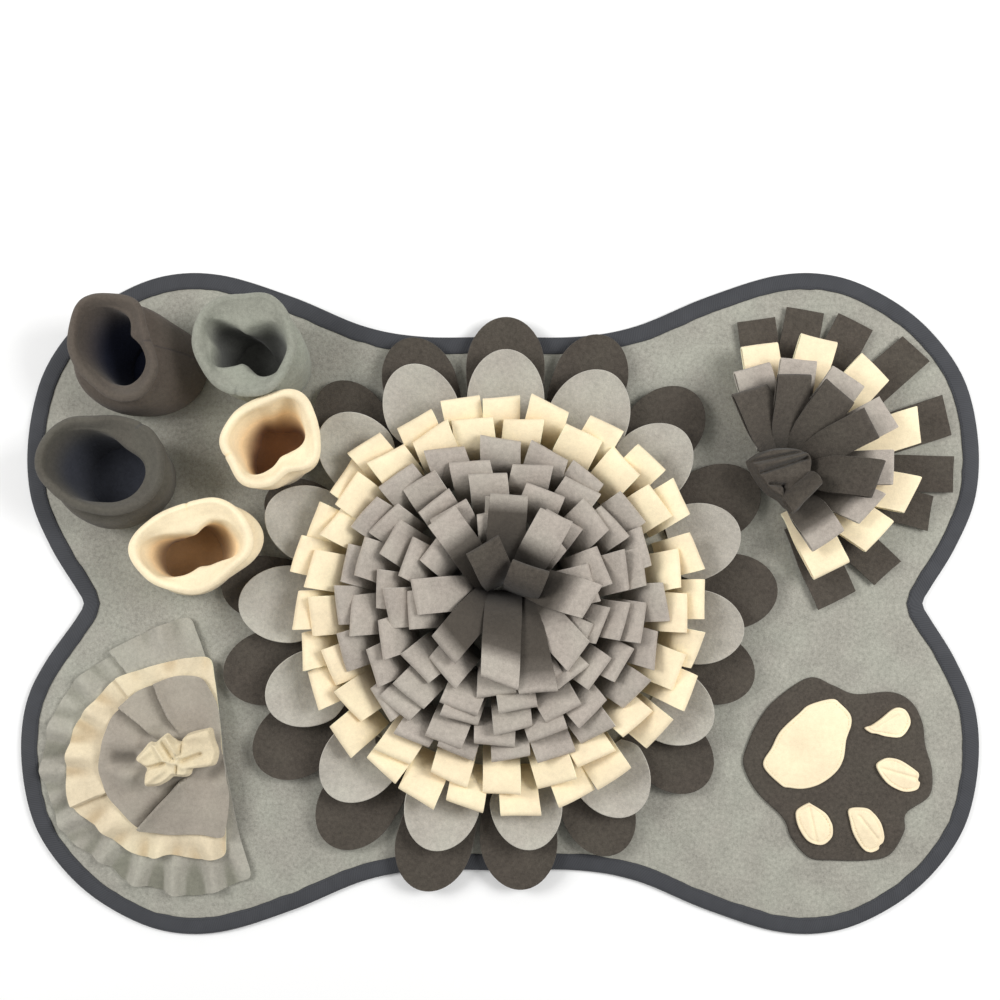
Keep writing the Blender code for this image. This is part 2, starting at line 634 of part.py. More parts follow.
def build_toe_pad(pad, collection, parent):
    """A leaf-shaped pad with a low crown."""
    rings = ((1.0, PAD_LOW), (1.0, PAD_LOW + FLEECE), (0.62, PAD_LOW + PAD_THICK))
    bm = bmesh.new()
    sections = []
    for size, height in rings:
        ring = []
        for step in range(TOE_STEPS):
            angle = 2 * math.pi * step / TOE_STEPS
            narrow = 1 - 0.25 * abs(math.cos(angle)) ** 3
            ring.append(Vector((math.cos(angle) * pad.length / 2 * size,
                                math.sin(angle) * narrow * pad.width / 2 * size, height)))
        sections.append(ring)
    loft(bm, sections)
    made = new_object(pad.name, bm, "cream", collection, place=(*pad.centre, 0), parent=parent)
    made.rotation_euler.z = math.radians(pad.turn)


def anchor(name, place, collection):
    """An empty that the pieces of one group hang on."""
    made = bpy.data.objects.new(name, None)
    made.location = (place[0], place[1], 0)
    collection.objects.link(made)
    return made


def main():
    clear_scene()
    collection = bpy.data.collections.new("Snuffle mat")
    bpy.context.scene.collection.children.link(collection)
    build_mat(collection)
    build_binding(collection)

    flower = anchor("flower_middle", (0, 0), collection)
    build_petals("petals_dark", "dark", DARK_PETALS, FLOOR_OF_TRIM, collection, flower)
    build_petals("petals_grey", "grey", GREY_PETALS, FLOOR_OF_TRIM + FLEECE + GAP, collection, flower)
    for ring in LOOP_RINGS:
        build_loop_ring(ring, collection, flower)
    build_centre_strips(collection, flower)

    for tube in TUBES:
        build_tube(tube, collection)

    ruffle = anchor("ruffle_middle_point", RUFFLE_CENTRE, collection)
    for layer in RUFFLE_LAYERS:
        build_ruffle(layer, collection, ruffle)
    build_bow(collection)

    fan = anchor("fan_root", FAN_ROOT, collection)
    for layer in FAN_LAYERS:
        build_fan_layer(layer, collection, fan)

    paw = anchor("paw_middle", PAW_CENTRE, collection)
    build_patch("paw_patch", "dark", PATCH_OUTLINE, PATCH_THICK, FLOOR_OF_TRIM, collection, paw)
    build_patch("main_pad", "cream", MAIN_PAD_OUTLINE, FLEECE, PAD_LOW, collection, paw)
    for pad in TOE_PADS:
        build_toe_pad(pad, collection, paw)


main()
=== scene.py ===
"""The looks of a fleece snuffle mat, laid out as a Blender add-on that is run as a script.

Each operator makes one piece of the mat, or a group of like pieces, around its solid.
Metres, +Z up; the mat lies on z = 0 with its centre at the origin.
"""
import json
import math
import random
from collections import namedtuple

import bmesh
import bpy
from bpy.props import FloatProperty, FloatVectorProperty, IntProperty, PointerProperty
from bpy.types import Operator, Panel, PropertyGroup
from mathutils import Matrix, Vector, noise


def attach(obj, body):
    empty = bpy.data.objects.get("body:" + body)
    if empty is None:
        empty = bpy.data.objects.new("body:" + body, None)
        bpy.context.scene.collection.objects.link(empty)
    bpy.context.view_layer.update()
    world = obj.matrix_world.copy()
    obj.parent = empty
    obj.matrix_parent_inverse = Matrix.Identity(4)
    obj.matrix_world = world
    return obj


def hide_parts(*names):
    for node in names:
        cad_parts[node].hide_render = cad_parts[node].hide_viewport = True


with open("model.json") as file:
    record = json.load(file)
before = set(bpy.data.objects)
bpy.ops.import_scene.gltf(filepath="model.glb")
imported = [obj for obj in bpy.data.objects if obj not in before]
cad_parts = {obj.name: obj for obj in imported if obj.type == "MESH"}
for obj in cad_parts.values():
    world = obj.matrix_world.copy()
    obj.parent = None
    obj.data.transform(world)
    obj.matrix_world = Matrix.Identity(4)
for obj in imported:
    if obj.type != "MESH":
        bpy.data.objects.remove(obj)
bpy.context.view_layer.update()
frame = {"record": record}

bl_info = {
    "name": "Snuffle mat",
    "version": (1, 0, 0),
    "blender": (4, 5, 0),
    "location": "3D View > Sidebar > Snuffle mat",
    "description": "Makes the cloth of a snuffle mat piece by piece",
    "category": "Object",
}

# ---- Sizes shared with the solids -----------------------------------------------------
GAP = 0.0003              # left between two pieces
MAT_THICK = 0.0044
TONGUE_LOW = 0.0014       # the mat's thin rim, which the tape folds round, lies between
TONGUE_HIGH = 0.0034      # these two levels
BINDING_WIDTH = 0.015
BINDING_HIGH = 0.0048
TAPE = 0.0011             # thickness of the tape
FLOOR_OF_TRIM = MAT_THICK + GAP
BACKING_HIGH = 0.003      # thickness of the seam that a ring of strips stands on

QUARTER_OUTLINE = (
    (0.000, 0.278), (0.080, 0.278), (0.142, 0.289), (0.215, 0.319), (0.290, 0.342),
    (0.350, 0.341), (0.405, 0.318), (0.450, 0.282), (0.484, 0.232), (0.498, 0.170),
    (0.495, 0.110), (0.474, 0.058), (0.447, 0.014), (0.440, 0.000),
)
OUTLINE_STEPS = 480
DRAWN_IN = 0.0065         # how far the upper left side lies drawn in

# ---- The flower -----------------------------------------------------------------------
CREAM_OUTER_ANGLES = (103, 88, 74, 59, 45, 31, 17, 4, -11, -26, -41, -57, -71, -85, -99,
                      -114, -128, -140, -153, -166, -179, -192, -204, -216, -230, -244)
CREAM_INNER_ANGLES = (98, 82, 65, 47, 31, 14, -4, -21, -39, -57, -73, -90, -109, -127,
                      -144, -161, -176, -191, -206, -219, -233, -248)
GREY_INNER_ANGLES = (93, 52, 14, -24, -60, -92, -128, -176, -221)


def round_the_turn(count, first):
    """Angles of strips sewn round by eye: nearly even, from the first one, clockwise."""
    chance = random.Random(count)
    return tuple(first - 360 / count * (i + chance.uniform(-0.06, 0.06)) for i in range(count))


# The last column is how far up a strip its darker root reaches, from 0 to 1: partly dark fleece,
# partly painted shade.
LoopRing = namedtuple("LoopRing", "name colour angles root_r tip_r tip_z fold dye")
LOOP_RINGS = (
    LoopRing("loops_cream_outer", "cream", CREAM_OUTER_ANGLES, 0.170, 0.210, 0.043, 0.0046, 0),
    LoopRing("loops_cream_inner", "cream", CREAM_INNER_ANGLES, 0.148, 0.188, 0.050, 0.0044, 0),
    LoopRing("loops_grey_1", "grey", round_the_turn(20, 92), 0.129, 0.160, 0.056, 0.0042, 0),
    LoopRing("loops_grey_2", "grey", round_the_turn(17, 100), 0.110, 0.143, 0.061, 0.0042, 0),
    LoopRing("loops_grey_3", "grey", round_the_turn(14, 95), 0.091, 0.125, 0.065, 0.0042, 0),
    LoopRing("loops_grey_4", "grey", round_the_turn(11, 86), 0.072, 0.106, 0.069, 0.0040, 0.2),
    LoopRing("loops_grey_5", "grey", GREY_INNER_ANGLES, 0.052, 0.090, 0.069, 0.0040, 0.4),
)

# Strips placed one by one, in millimetres: where each starts, the two corners of its fold,
# how high the fold is, its width where it starts, and how far up its darker root reaches, partly
# dark fleece and partly painted shade.
Strip = namedtuple("Strip", "root left right high foot dye")
LONG_STRIPS = (
    Strip((4, 34), (-10, 107), (28, 104), 80, 30, 0.96),
    Strip((22, 26), (39, 93), (71, 79), 82, 26, 0.66),
    Strip((26, 22), (99, 18), (79, -14), 84, 28, 0.80),
    Strip((28, 4), (87, -37), (66, -66), 75, 28, 0.55),
    Strip((18, 8), (57, -85), (19, -88), 80, 30, 0.93),
    Strip((4, 12), (17, -83), (-18, -70), 85, 38, 0.83),
    Strip((-8, 10), (-44, -58), (-66, -31), 82, 32, 0.97),
    Strip((-20, 12), (-80, -11), (-87, 24), 76, 28, 0.36),
    Strip((-8, 18), (-70, 75), (-44, 95), 82, 30, 0.82),
)
TOP_STRIPS = (
    Strip((0, 20), (-33, 48), (-2, 66), 87, 30, 0),
    Strip((20, 10), (12, 42), (48, 30), 89, 34, 0),
)
LONG_FOLD = 0.0034        # half the way across a fold
TOP_FOLD = 0.0050

PETAL_RING_R = 0.186
GREY_PETALS_UP = 0.0023   # how far the grey petals' roots lie above the dark ones'
DARK_PINCH = 0.002        # depth of the valley down a petal's middle at its root
GREY_PINCH = 0.006
# Each petal's angle, the reach of its tip, its width, how far its tip lifts and how far its
# sides do.
Petal = namedtuple("Petal", "angle tip_r width lift cup")
DARK_PETALS = (
    Petal(88.7, 0.2955, 0.081, 0.010, 0.004), Petal(68, 0.297, 0.076, 0.010, 0.004),
    Petal(47, 0.296, 0.077, 0.008, 0.004), Petal(25, 0.294, 0.079, 0.008, 0.004),
    Petal(3, 0.287, 0.079, 0.008, 0.004), Petal(-17, 0.274, 0.075, 0.008, 0.004),
    Petal(-41, 0.283, 0.076, 0.008, 0.004), Petal(-64.8, 0.285, 0.074, 0.010, 0.004),
    Petal(-85.5, 0.296, 0.080, 0.010, 0.004), Petal(-105.4, 0.307, 0.079, 0.010, 0.004),
    Petal(-125.3, 0.305, 0.079, 0.008, 0.004), Petal(-146.2, 0.301, 0.078, 0.008, 0.004),
    Petal(-164.5, 0.2955, 0.077, 0.008, 0.004), Petal(-183.8, 0.288, 0.066, 0.008, 0.001),
    Petal(-205, 0.266, 0.066, 0.008, 0.001), Petal(-231.2, 0.288, 0.070, 0.008, 0.004),
    Petal(-250, 0.290, 0.076, 0.010, 0.004),
)
GREY_PETALS = (
    Petal(88.4, 0.258, 0.079, 0.028, 0.009), Petal(64.5, 0.260, 0.083, 0.026, 0.009),
    Petal(42.6, 0.256, 0.079, 0.024, 0.009), Petal(17.6, 0.256, 0.079, 0.022, 0.009),
    Petal(-6.8, 0.250, 0.077, 0.024, 0.009), Petal(-31, 0.250, 0.077, 0.022, 0.009),
    Petal(-57, 0.254, 0.079, 0.024, 0.009), Petal(-82.6, 0.2525, 0.074, 0.026, 0.009),
    Petal(-106, 0.261, 0.077, 0.024, 0.009), Petal(-131.6, 0.261, 0.077, 0.024, 0.009),
    Petal(-155.9, 0.259, 0.077, 0.024, 0.009), Petal(-179.8, 0.2655, 0.079, 0.026, 0.009),
    Petal(-202.6, 0.256, 0.079, 0.028, 0.009), Petal(-226.6, 0.256, 0.076, 0.028, 0.009),
    Petal(-247.9, 0.260, 0.077, 0.028, 0.009),
)

# ---- The five tubes -------------------------------------------------------------------
# rim, mouth and floor are reaches in millimetres every 30 degrees, the first two from the
# rim's centre and the last one from the foot's. The inside is painted darker with depth, as
# painted shade, from one depth to another, both as shares of the height; the third column is
# the colour of that painted shade. seam: the angle of the sewn line. bulge: where the wall
# swells below the rim (degrees), by how much (millimetres) and how widely (degrees).
Tube = namedtuple("Tube", "name colour lining foot foot_half centre rim mouth floor "
                          "shade_from shade_to seam high bulge warm")
# Painted warm bounce of light on the cream tubes' inner walls.
PAINTED_BOUNCE = (0.95, 0.72, 0.43)
TUBES = (
    Tube("tube_brown", "tube_brown", (0.011, 0.014, 0.030), (-0.348, 0.241),
         (0.047, 0.044), (-0.383, 0.2525), (43, 42, 53, 53, 54, 45, 41, 40, 42, 51, 58, 52),
         (30, 23, 34, 38, 39, 34, 30, 27, 28, 34, 40, 38),
         (36, 34, 34, 34, 34, 34, 34, 34, 34, 34, 36, 36), 0.94, 0.40, 8, 0.078, (215, 18, 55), None),
    Tube("tube_green", "tube_green", (0.100, 0.101, 0.092), (-0.240, 0.244),
         (0.043, 0.039), (-0.252, 0.2545), (52, 53, 55, 50, 52, 53, 51, 48, 50, 51, 54, 50),
         (42, 38, 21, 14, 24, 42, 31, 36, 22, 18, 36, 42),
         (17, 14, 13, 22, 30, 32, 34, 32, 30, 24, 26, 22), 0.92, 0.50, 262, 0.078, (340, 5, 55), None),
    Tube("tube_dark", "tube_dark", (0.043, 0.046, 0.058), (-0.386, 0.128),
         (0.052, 0.044), (-0.398, 0.136), (68, 66, 56, 49, 54, 59, 60, 51, 47, 49, 55, 64),
         (45, 32, 31, 34, 39, 47, 49, 41, 37, 36, 40, 45),
         (40, 38, 36, 34, 36, 38, 40, 38, 36, 34, 36, 38), 0.90, 0.45, 42, 0.074, (255, 10, 55), None),
    Tube("tube_cream_tall", "cream", (0.215, 0.110, 0.058), (-0.232, 0.160),
         (0.038, 0.037), (-0.227, 0.162), (50, 52, 56, 45, 41, 45, 50, 47, 52, 47, 38, 50),
         (33, 37, 45, 33, 32, 38, 41, 37, 39, 27, 19, 22),
         (30, 31, 21, 18, 21, 18, 17, 24, 33, 32, 31, 31), 0.80, 0.14, 200, 0.074, (300, 2, 55), PAINTED_BOUNCE),
    Tube("tube_cream_wide", "cream", (0.270, 0.160, 0.078), (-0.320, 0.050),
         (0.044, 0.040), (-0.301, 0.056), (58, 57, 54, 46, 45, 52, 66, 59, 49, 47, 43, 45),
         (44, 40, 29, 15, 15, 25, 55, 49, 32, 20, 21, 27),
         (34, 33, 33, 22, 18, 23, 27, 29, 30, 32, 34, 35), 0.80, 0.16, 103, 0.070, (17, 19, 34), PAINTED_BOUNCE),
)

# ---- The layered ruffle ---------------------------------------------------------------
RUFFLE_CENTRE = (-0.332, -0.160)
RUFFLE_GATHER_R = 0.014
# outline: millimetres from the gathered middle.
RuffleLayer = namedtuple("RuffleLayer", "name outline foot rise creases")
# A crease runs inwards along its points (millimetres): depth in mm, and the side that lies
# low (1 its right, -1 its left, 0 a soft valley, or with a minus depth a soft ridge). It
# starts to fade at a share of its length.
Crease = namedtuple("Crease", "points depth low fade", defaults=(0.1,))
RUFFLE_LAYERS = (
    RuffleLayer("ruffle_bottom",
                ((46, 0), (52, -33), (61, -78), (68, -101), (73, -122), (61, -129), (38, -138),
                 (18, -143), (-3, -142), (-15, -138), (-31, -134), (-48, -131), (-60, -125),
                 (-72, -113), (-93, -100), (-110, -90), (-121, -76), (-129, -60), (-136, -39),
                 (-143, -19), (-144, -6), (-139, 18), (-133, 41), (-113, 74), (-93, 93),
                 (-73, 105), (-70, 112), (-40, 128), (-15, 139), (9, 145), (17, 131), (26, 106),
                 (38, 65)), 0.0080, 0.003,
                (Crease(((-74, 112), (-54, 88), (-40, 70)), 5.0, 1, 0.65),
                 Crease(((-106, 84), (-66, 52)), -8.0, 0), Crease(((-130, 30), (-88, 20)), -8.0, 0),
                 Crease(((-146, -14), (-94, -10)), -9.0, 0), Crease(((-124, -70), (-76, -44)), -9.0, 0),
                 Crease(((-84, -110), (-56, -72)), -11.0, 0), Crease(((-46, -134), (-34, -90)), -12.0, 0),
                 Crease(((-6, -142), (-4, -90)), -13.0, 0), Crease(((38, -138), (30, -90)), -12.0, 0),
                 Crease(((-22, 137), (-12, 96)), -7.0, 0), Crease(((66, -118), (50, -84)), -3.0, 0))),
    RuffleLayer("ruffle_middle",
                ((32, 103), (11, 104), (-14, 99), (-38, 92), (-63, 83), (-81, 66), (-105, 37),
                 (-111, 21), (-115, 0), (-116, -20), (-114, -40), (-105, -55), (-81, -73),
                 (-58, -91), (-44, -99), (-30, -102), (-22, -102), (-12, -99), (3, -101),
                 (23, -104), (46, -101), (49, -83), (49, -40), (46, 4), (42, 50), (38, 82)),
                0.0148, 0.005,
                (Crease(((-116, 4), (-70, 2)), -10.0, 0), Crease(((-96, 52), (-56, 31)), -10.0, 0),
                 Crease(((-110, -50), (-62, -30)), 5.0, 1, 0.65),
                 Crease(((-66, 84), (-44, 56)), 3.6, 1, 0.65),
                 Crease(((-78, -76), (-52, -52)), -9.0, 0), Crease(((-20, -102), (-14, -70)), -10.0, 0),
                 Crease(((36, -104), (26, -72)), -9.0, 0), Crease(((-30, 95), (-20, 70)), -6.0, 0),
                 Crease(((12, 104), (10, 80)), -6.0, 0))),
    RuffleLayer("ruffle_top",
                ((24, 84), (8, 86), (-6, 84), (-23, 77), (-41, 69), (-57, 54), (-67, 42),
                 (-73, 26), (-76, 14), (-79, -6), (-78, -18), (-71, -37), (-59, -51), (-41, -70),
                 (-19, -75), (-6, -77), (24, -77), (46, -80), (51, -69), (54, -39), (51, -18),
                 (47, 6), (45, 32), (42, 54), (33, 73)), 0.0212, 0.008,
                (Crease(((-23, 80), (-16, 63), (-6, 44), (8, 22)), 10.0, 1, 0.65),
                 Crease(((-62, 56), (-34, 36), (-16, 20)), 9.5, 1, 0.65),
                 Crease(((-40, -72), (-18, -48), (-6, -36), (6, -22), (22, -13)), 10.5, -1, 0.65),
                 Crease(((-62, 4), (-34, 1)), 6.5, 0, 0.7), Crease(((48, -2), (28, -26)), 6.0, 0, 0.5),
                 Crease(((-52, -16), (-28, -9)), -4.0, 0, 0.5),
                 Crease(((32, 78), (40, 36), (36, 12)), 2.6, 0))),
)
# A gathered piece: its outline in millimetres, and its ridges and valleys, each with two
# ends, how high and how wide in millimetres. low is where it lies, high how far it stands up,
# and fullness how many times its own area it is cut from.
Gather = namedtuple("Gather", "name node finish centre low high outline folds flat fullness rests_on")
GATHERS = (
    Gather("bow_cloth", "bow", "bow", (-0.333, -0.160), 0.0370, 0.0056, (
        (-35, 3), (-28, 12), (-21, 20), (-15, 20), (-9, 25), (-3, 29), (2, 25), (9, 21), (13, 22),
        (17, 28), (24, 31), (33, 33), (42, 34), (45, 23), (49, 11), (47, 0), (43, -4), (31, -6),
        (23, -7), (21, -12), (17, -15), (9, -15), (3, -15), (-2, -19), (-11, -24), (-19, -25),
        (-26, -24), (-26, -14), (-24, -7), (-30, -2)),
        (((-15, 18), (-5, 2), 4.0, 2.4), ((-3, 26), (9, 6), 5.0, 2.2), ((-8, 21), (4, 2), -4.6, 1.9),
         ((-25, -7), (-5, -1), -5.4, 1.7), ((13, 1), (31, 8), -5.4, 2.0), ((-2, 1), (6, 0), 3.0, 3.4),
         ((-25, -22), (-6, -8), 3.4, 3.4), ((6, -15), (7, -4), -3.8, 1.3), ((20, 25), (41, 29), 2.6, 5.0),
         ((-31, 3), (-20, 12), 2.6, 3.6), ((12, 20), (10, 8), -4.0, 1.7), ((14, -5), (43, 0), 2.8, 3.0)),
        (0.085, 0.060), 1.0, "ruffle_top_cloth"),
    Gather("fan_root_cloth", "fan_dark", "dark", (0.287, 0.137), 0.0330, 0.0170, (
        (-37, 4), (-34, 10), (-20, 18), (0, 21), (20, 18), (28, 9), (27, -6), (25, -20), (20, -36),
        (12, -45), (2, -41), (-6, -33), (-17, -26), (-27, -14)),
        (((-34, 5), (20, 16), -7.0, 1.6), ((-26, -6), (20, 9), -8.0, 1.6), ((-29, 0), (19, 12), 3.0, 2.2),
         ((-17, -17), (-2, -19), -6.0, 1.4), ((-2, -19), (1, -38), -7.0, 1.6),
         ((1, -38), (12, -44), -5.0, 1.4),
         ((-8, -12), (20, -10), 3.4, 6.0), ((8, -26), (16, -38), 3.0, 5.0)),
        (0.110, 0.090), 1.7, "base_mat"),
)

# ---- The fan of strips ----------------------------------------------------------------
# Each pair is the two corners of a strip's free end, in millimetres from the root. root_r,
# foot (its width there), high and fold are in millimetres too; a strip with no fold is a flat
# tab. tilt is how far a strip leans over sideways.
FAN_ROOT = (0.287, 0.137)
# The column before tilt is how far up a strip its darker root reaches, as painted shade.
FanLayer = namedtuple("FanLayer", "name colour root_r foot high ends fold dye tilt")
FAN_LAYERS = (
    FanLayer("fan_tabs", "dark", 58, 36, 9, (
        ((-41, 154), (-2, 160)), ((10, 170), (49, 164)), ((64, 164), (99, 146)),
        ((131, 141), (159, 114)), ((171, 79), (181, 38)), ((184, 16), (182, -22)),
        ((162, -26), (156, -62)), ((129, -93), (101, -118)), ((82, -124), (43, -144))), 0, 0, 0),
    FanLayer("fan_cream", "cream", 43, 30, 34, (
        ((-43, 122), (-4, 129)), ((18, 136), (56, 128)), ((80, 117), (109, 90)),
        ((135, 63), (141, 27)), ((139, -10), (123, -44)), ((112, -54), (85, -84)),
        ((67, -94), (32, -112))), 3.6, 0, 0.16),
    FanLayer("fan_grey", "grey", 28, 24, 50, (
        ((-53, 94), (-16, 104)), ((-6, 108), (32, 106)), ((45, 100), (78, 80)),
        ((92, 70), (112, 40)), ((106, 16), (106, -18)), ((98, -28), (74, -56)),
        ((56, -64), (26, -84))), 3.4, 0.82, 0.16),
    FanLayer("fan_dark", "dark", 14, 14, 66, (
        ((-58, 68), (-22, 80)), ((-14, 88), (22, 90)), ((34, 84), (64, 62)),
        ((72, 56), (90, 28)), ((92, 3), (81, -32)), ((28, -18), (4, -46))), 4.2, 0, 0.30),
)

# ---- The paw patch --------------------------------------------------------------------
PAW_CENTRE = (0.352, -0.178)
PATCH_THICK = 0.0025
PATCH_OUTLINE = (
    (-0.031, 0.101), (-0.066, 0.078), (-0.084, 0.055), (-0.095, 0.031), (-0.099, 0.010),
    (-0.085, -0.018), (-0.058, -0.045), (-0.049, -0.066), (-0.031, -0.086), (-0.006, -0.089),
    (0.029, -0.089), (0.053, -0.083), (0.068, -0.059), (0.070, -0.040), (0.094, -0.022),
    (0.097, 0.004), (0.090, 0.030), (0.087, 0.054), (0.076, 0.075), (0.055, 0.086),
    (0.017, 0.084), (-0.006, 0.093),
)
PAD_LOW = FLOOR_OF_TRIM + PATCH_THICK + GAP
# middle and outline round it in millimetres; crease: two ends and its depth.
Pad = namedtuple("Pad", "name middle outline crease")
PADS = (
    Pad("main_pad", (-0.034, 0.031),
        ((26, 48), (3, 42), (-8, 33), (-27, 15), (-36, -2), (-45, -21), (-27, -41), (-18, -44),
         (-3, -45), (14, -40), (30, -28), (38, -14), (41, 6), (46, 21), (45, 32), (35, 43)), None),
    Pad("toe_pad_upper", (0.054, 0.055),
        ((-28, -6), (-21, -3), (-12, 3), (2, 14), (12, 14), (18, 7), (19, -3), (10, -15), (-5, -15),
         (-16, -12), (-22, -11)), ((-16, -6), (6, 7), 0.0010)),
    Pad("toe_pad_right", (0.062, 0.001),
        ((-24, 9), (-18, 15), (-10, 17), (2, 14), (17, 4), (20, 0), (19, -6), (21, -9), (18, -16),
         (5, -18), (-9, -12), (-18, -3)), ((-18, 6), (17, -4), 0.0014)),
    Pad("toe_pad_lower", (0.030, -0.057),
        ((-20, 22), (-3, 23), (6, 17), (13, 7), (16, -5), (15, -12), (11, -16), (10, -20), (2, -23),
         (-6, -19), (-15, -5), (-19, 9)), ((-10, 15), (9, -9), 0.0014)),
    Pad("toe_pad_left", (-0.026, -0.050),
        ((-7, 21), (-3, 20), (11, 11), (17, 2), (19, -5), (18, -14), (11, -21), (3, -22), (-7, -18),
         (-15, -7), (-19, 5), (-18, 14)), ((-6, 17), (2, -20), 0.0014)),
)


# ---- What a user may change -----------------------------------------------------------
def length(name, description, default):
    """A property for a length."""
    return FloatProperty(name=name, description=description, default=default, min=0.0,
                         subtype="DISTANCE", unit="LENGTH", precision=4)


def colour(name, description, default):
    """A property for a colour."""
    return FloatVectorProperty(name=name, description=description, default=default, size=3,
                               min=0.0, max=1.0, subtype="COLOR")


class SnuffleSizes(PropertyGroup):
    fleece: length("Fleece", "Thickness of one layer of fleece", 0.0019)
    strip_width: length("Strip width", "Width of the cut strips", 0.041)
    cut_edge: length("Cut edge", "Rounding of a cut edge of fleece", 0.0004)
    stitch: length("Stitch", "Length of one machine stitch", 0.0026)
    thread: length("Thread", "Thickness of the sewing thread", 0.0005)
    strip_steps: IntProperty(name="Strip steps", description="Steps across a strip", default=8, min=2)


class SnuffleColours(PropertyGroup):
    mat: colour("Mat", "Short-pile fleece of the base", (0.340, 0.332, 0.285))
    binding: colour("Edge tape", "Slate woven tape round the rim", (0.047, 0.049, 0.055))
    dark: colour("Dark fleece", "Dark petals, tabs and paw patch", (0.072, 0.061, 0.049))
    grey: colour("Grey fleece", "Light grey petals, strips and ruffle", (0.440, 0.416, 0.362))
    cream: colour("Cream fleece", "Cream strips, ruffle and pads", (0.900, 0.768, 0.530))
    tube_brown: colour("Brown tube", "Fleece of the brown tube", (0.101, 0.083, 0.067))
    tube_green: colour("Grey-green tube", "Fleece of the grey-green tube", (0.284, 0.291, 0.241))
    tube_dark: colour("Dark tube", "Fleece of the dark tube", (0.094, 0.086, 0.070))


# ---- Materials ------------------------------------------------------------------------
class Wire:
    """A socket of a material's node tree that takes part in Python sums."""

    def __init__(self, socket):
        self.socket = socket

    @classmethod
    def node(cls, tree, kind, settings=(), values=(), out=0):
        """Add a node: its settings are set first, then its sockets' values or links."""
        made = tree.nodes.new(kind)
        for name, value in dict(settings).items():
            setattr(made, name, value)
        for name, value in dict(values).items():
            socket = made.inputs[name]
            if isinstance(value, Wire):
                tree.links.new(value.socket, socket)
            else:
                socket.default_value = value
        return cls(made.outputs[out])

    def sum(self, operation, first, second):
        """A Math node on two values."""
        return Wire.node(self.socket.id_data, "ShaderNodeMath", {"operation": operation},
                         {0: first, 1: second})

    def __add__(self, other):
        return self.sum("ADD", self, other)

    __radd__ = __add__

    def __sub__(self, other):
        return self.sum("SUBTRACT", self, other)

    def __rsub__(self, other):
        return self.sum("SUBTRACT", other, self)

    def __mul__(self, other):
        return self.sum("MULTIPLY", self, other)

    __rmul__ = __mul__


def tint(rgb, share):
    """A colour with each channel multiplied, held to white."""
    return (*(min(1.0, channel * part) for channel, part in zip(rgb, share)), 1)


def blend(tree, factor, first, second, mode="MIX"):
    """A Mix node on two colours."""
    return Wire.node(tree, "ShaderNodeMix", {"data_type": "RGBA", "blend_type": mode},
                     {0: factor, 6: first, 7: second}, out=2)


def start_material(name):
    """A new material, with its tree and its shader."""
    made = bpy.data.materials.new(name)
    made.use_nodes = True
    return made, made.node_tree, made.node_tree.nodes["Principled BSDF"]


def link_shader(tree, shader, paint, value, bump, numbers):
    """Give the shader a colour shaded by a value, a bump, and the numbers of its own sockets."""
    grey = Wire.node(tree, "ShaderNodeCombineColor", {}, {0: value, 1: value, 2: value})
    shaded = blend(tree, 1.0, paint, grey, "MULTIPLY")
    raised = Wire.node(tree, "ShaderNodeBump", {}, bump)
    tree.links.new(shaded.socket, shader.inputs["Base Color"])
    tree.links.new(raised.socket, shader.inputs["Normal"])
    for name, number in numbers.items():
        shader.inputs[name].default_value = number


FLEECE_SHADER = {"Roughness": 0.92, "Sheen Weight": 0.10, "Sheen Roughness": 0.6,
                 "Specular IOR Level": 0.15}
TAPE_SHADER = {"Roughness": 0.7, "Sheen Weight": 0.05, "Specular IOR Level": 0.3}
REDDER = (1.010, 0.997, 1.0)      # faint shifts of hue over a piece
GREENER = (0.990, 1.003, 0.994)


def cloth(name, rgb, pile=1.0, lift=0.0004, dyed=None, warm=None):
    """Fleece: a short nap with clumps, soft lighter and darker patches and a faint sheen.
    The dye and shade colour is what the piece's own attribute brings in, as dark fleece and as
    painted shade, by way of the painted warm bounce of light if one is given."""
    made, tree, shader = start_material(name)
    place = Wire.node(tree, "ShaderNodeTexCoord", out="Object")

    def grain(scale, detail, roughness=0.5):
        return Wire.node(tree, "ShaderNodeTexNoise", {"noise_dimensions": "3D"},
                         {"Vector": place, "Scale": scale, "Detail": detail, "Roughness": roughness})

    nap = grain(900, 3, 0.6)
    clumps = grain(260, 2, 0.55)
    patches = grain(38, 2)
    hue = grain(22, 1)
    base = blend(tree, (hue - 0.38) * 3.4, tint(rgb, REDDER), tint(rgb, GREENER))
    # The piece's own attribute brings in darker strip roots, partly dark fleece and partly painted shade,
    # and painted shade in hollows and deep insides.
    if dyed:
        dye = Wire.node(tree, "ShaderNodeAttribute", {"attribute_name": "dye"}, out=2)
        if warm:
            base = blend(tree, dye * 3, base, (*warm, 1))
            dye = dye * 1.5 - 0.5
        base = blend(tree, dye, base, (*dyed, 1))
    value = (0.72 + (nap - 0.5) * 0.5 * pile + (clumps - 0.5) * 0.42 * pile
             + patches * 0.30 + hue * 0.26)
    bump = {"Height": nap * 0.5 + clumps, "Strength": 0.55, "Distance": lift * 2.2 * min(1.0, pile)}
    link_shader(tree, shader, base, value, bump, FLEECE_SHADER)
    return made


def woven_tape(rgb):
    """Edge tape: fine diagonal ribs along its length."""
    made, tree, shader = start_material("tape")
    place = Wire.node(tree, "ShaderNodeTexCoord", out="UV")
    turned = Wire.node(tree, "ShaderNodeMapping", {},
                       {"Vector": place, "Rotation": (0, 0, math.radians(35))})
    rib = Wire.node(tree, "ShaderNodeTexWave", {"wave_type": "BANDS"},
                    {"Vector": turned, "Scale": 150, "Distortion": 0.6, "Detail": 1})
    patches = Wire.node(tree, "ShaderNodeTexNoise", {}, {"Vector": place, "Scale": 60, "Detail": 2})
    value = 0.70 + rib * 0.22 + patches * 0.40
    bump = {"Height": rib, "Strength": 0.5, "Distance": 0.0003}
    link_shader(tree, shader, (*rgb, 1), value, bump, TAPE_SHADER)
    return made
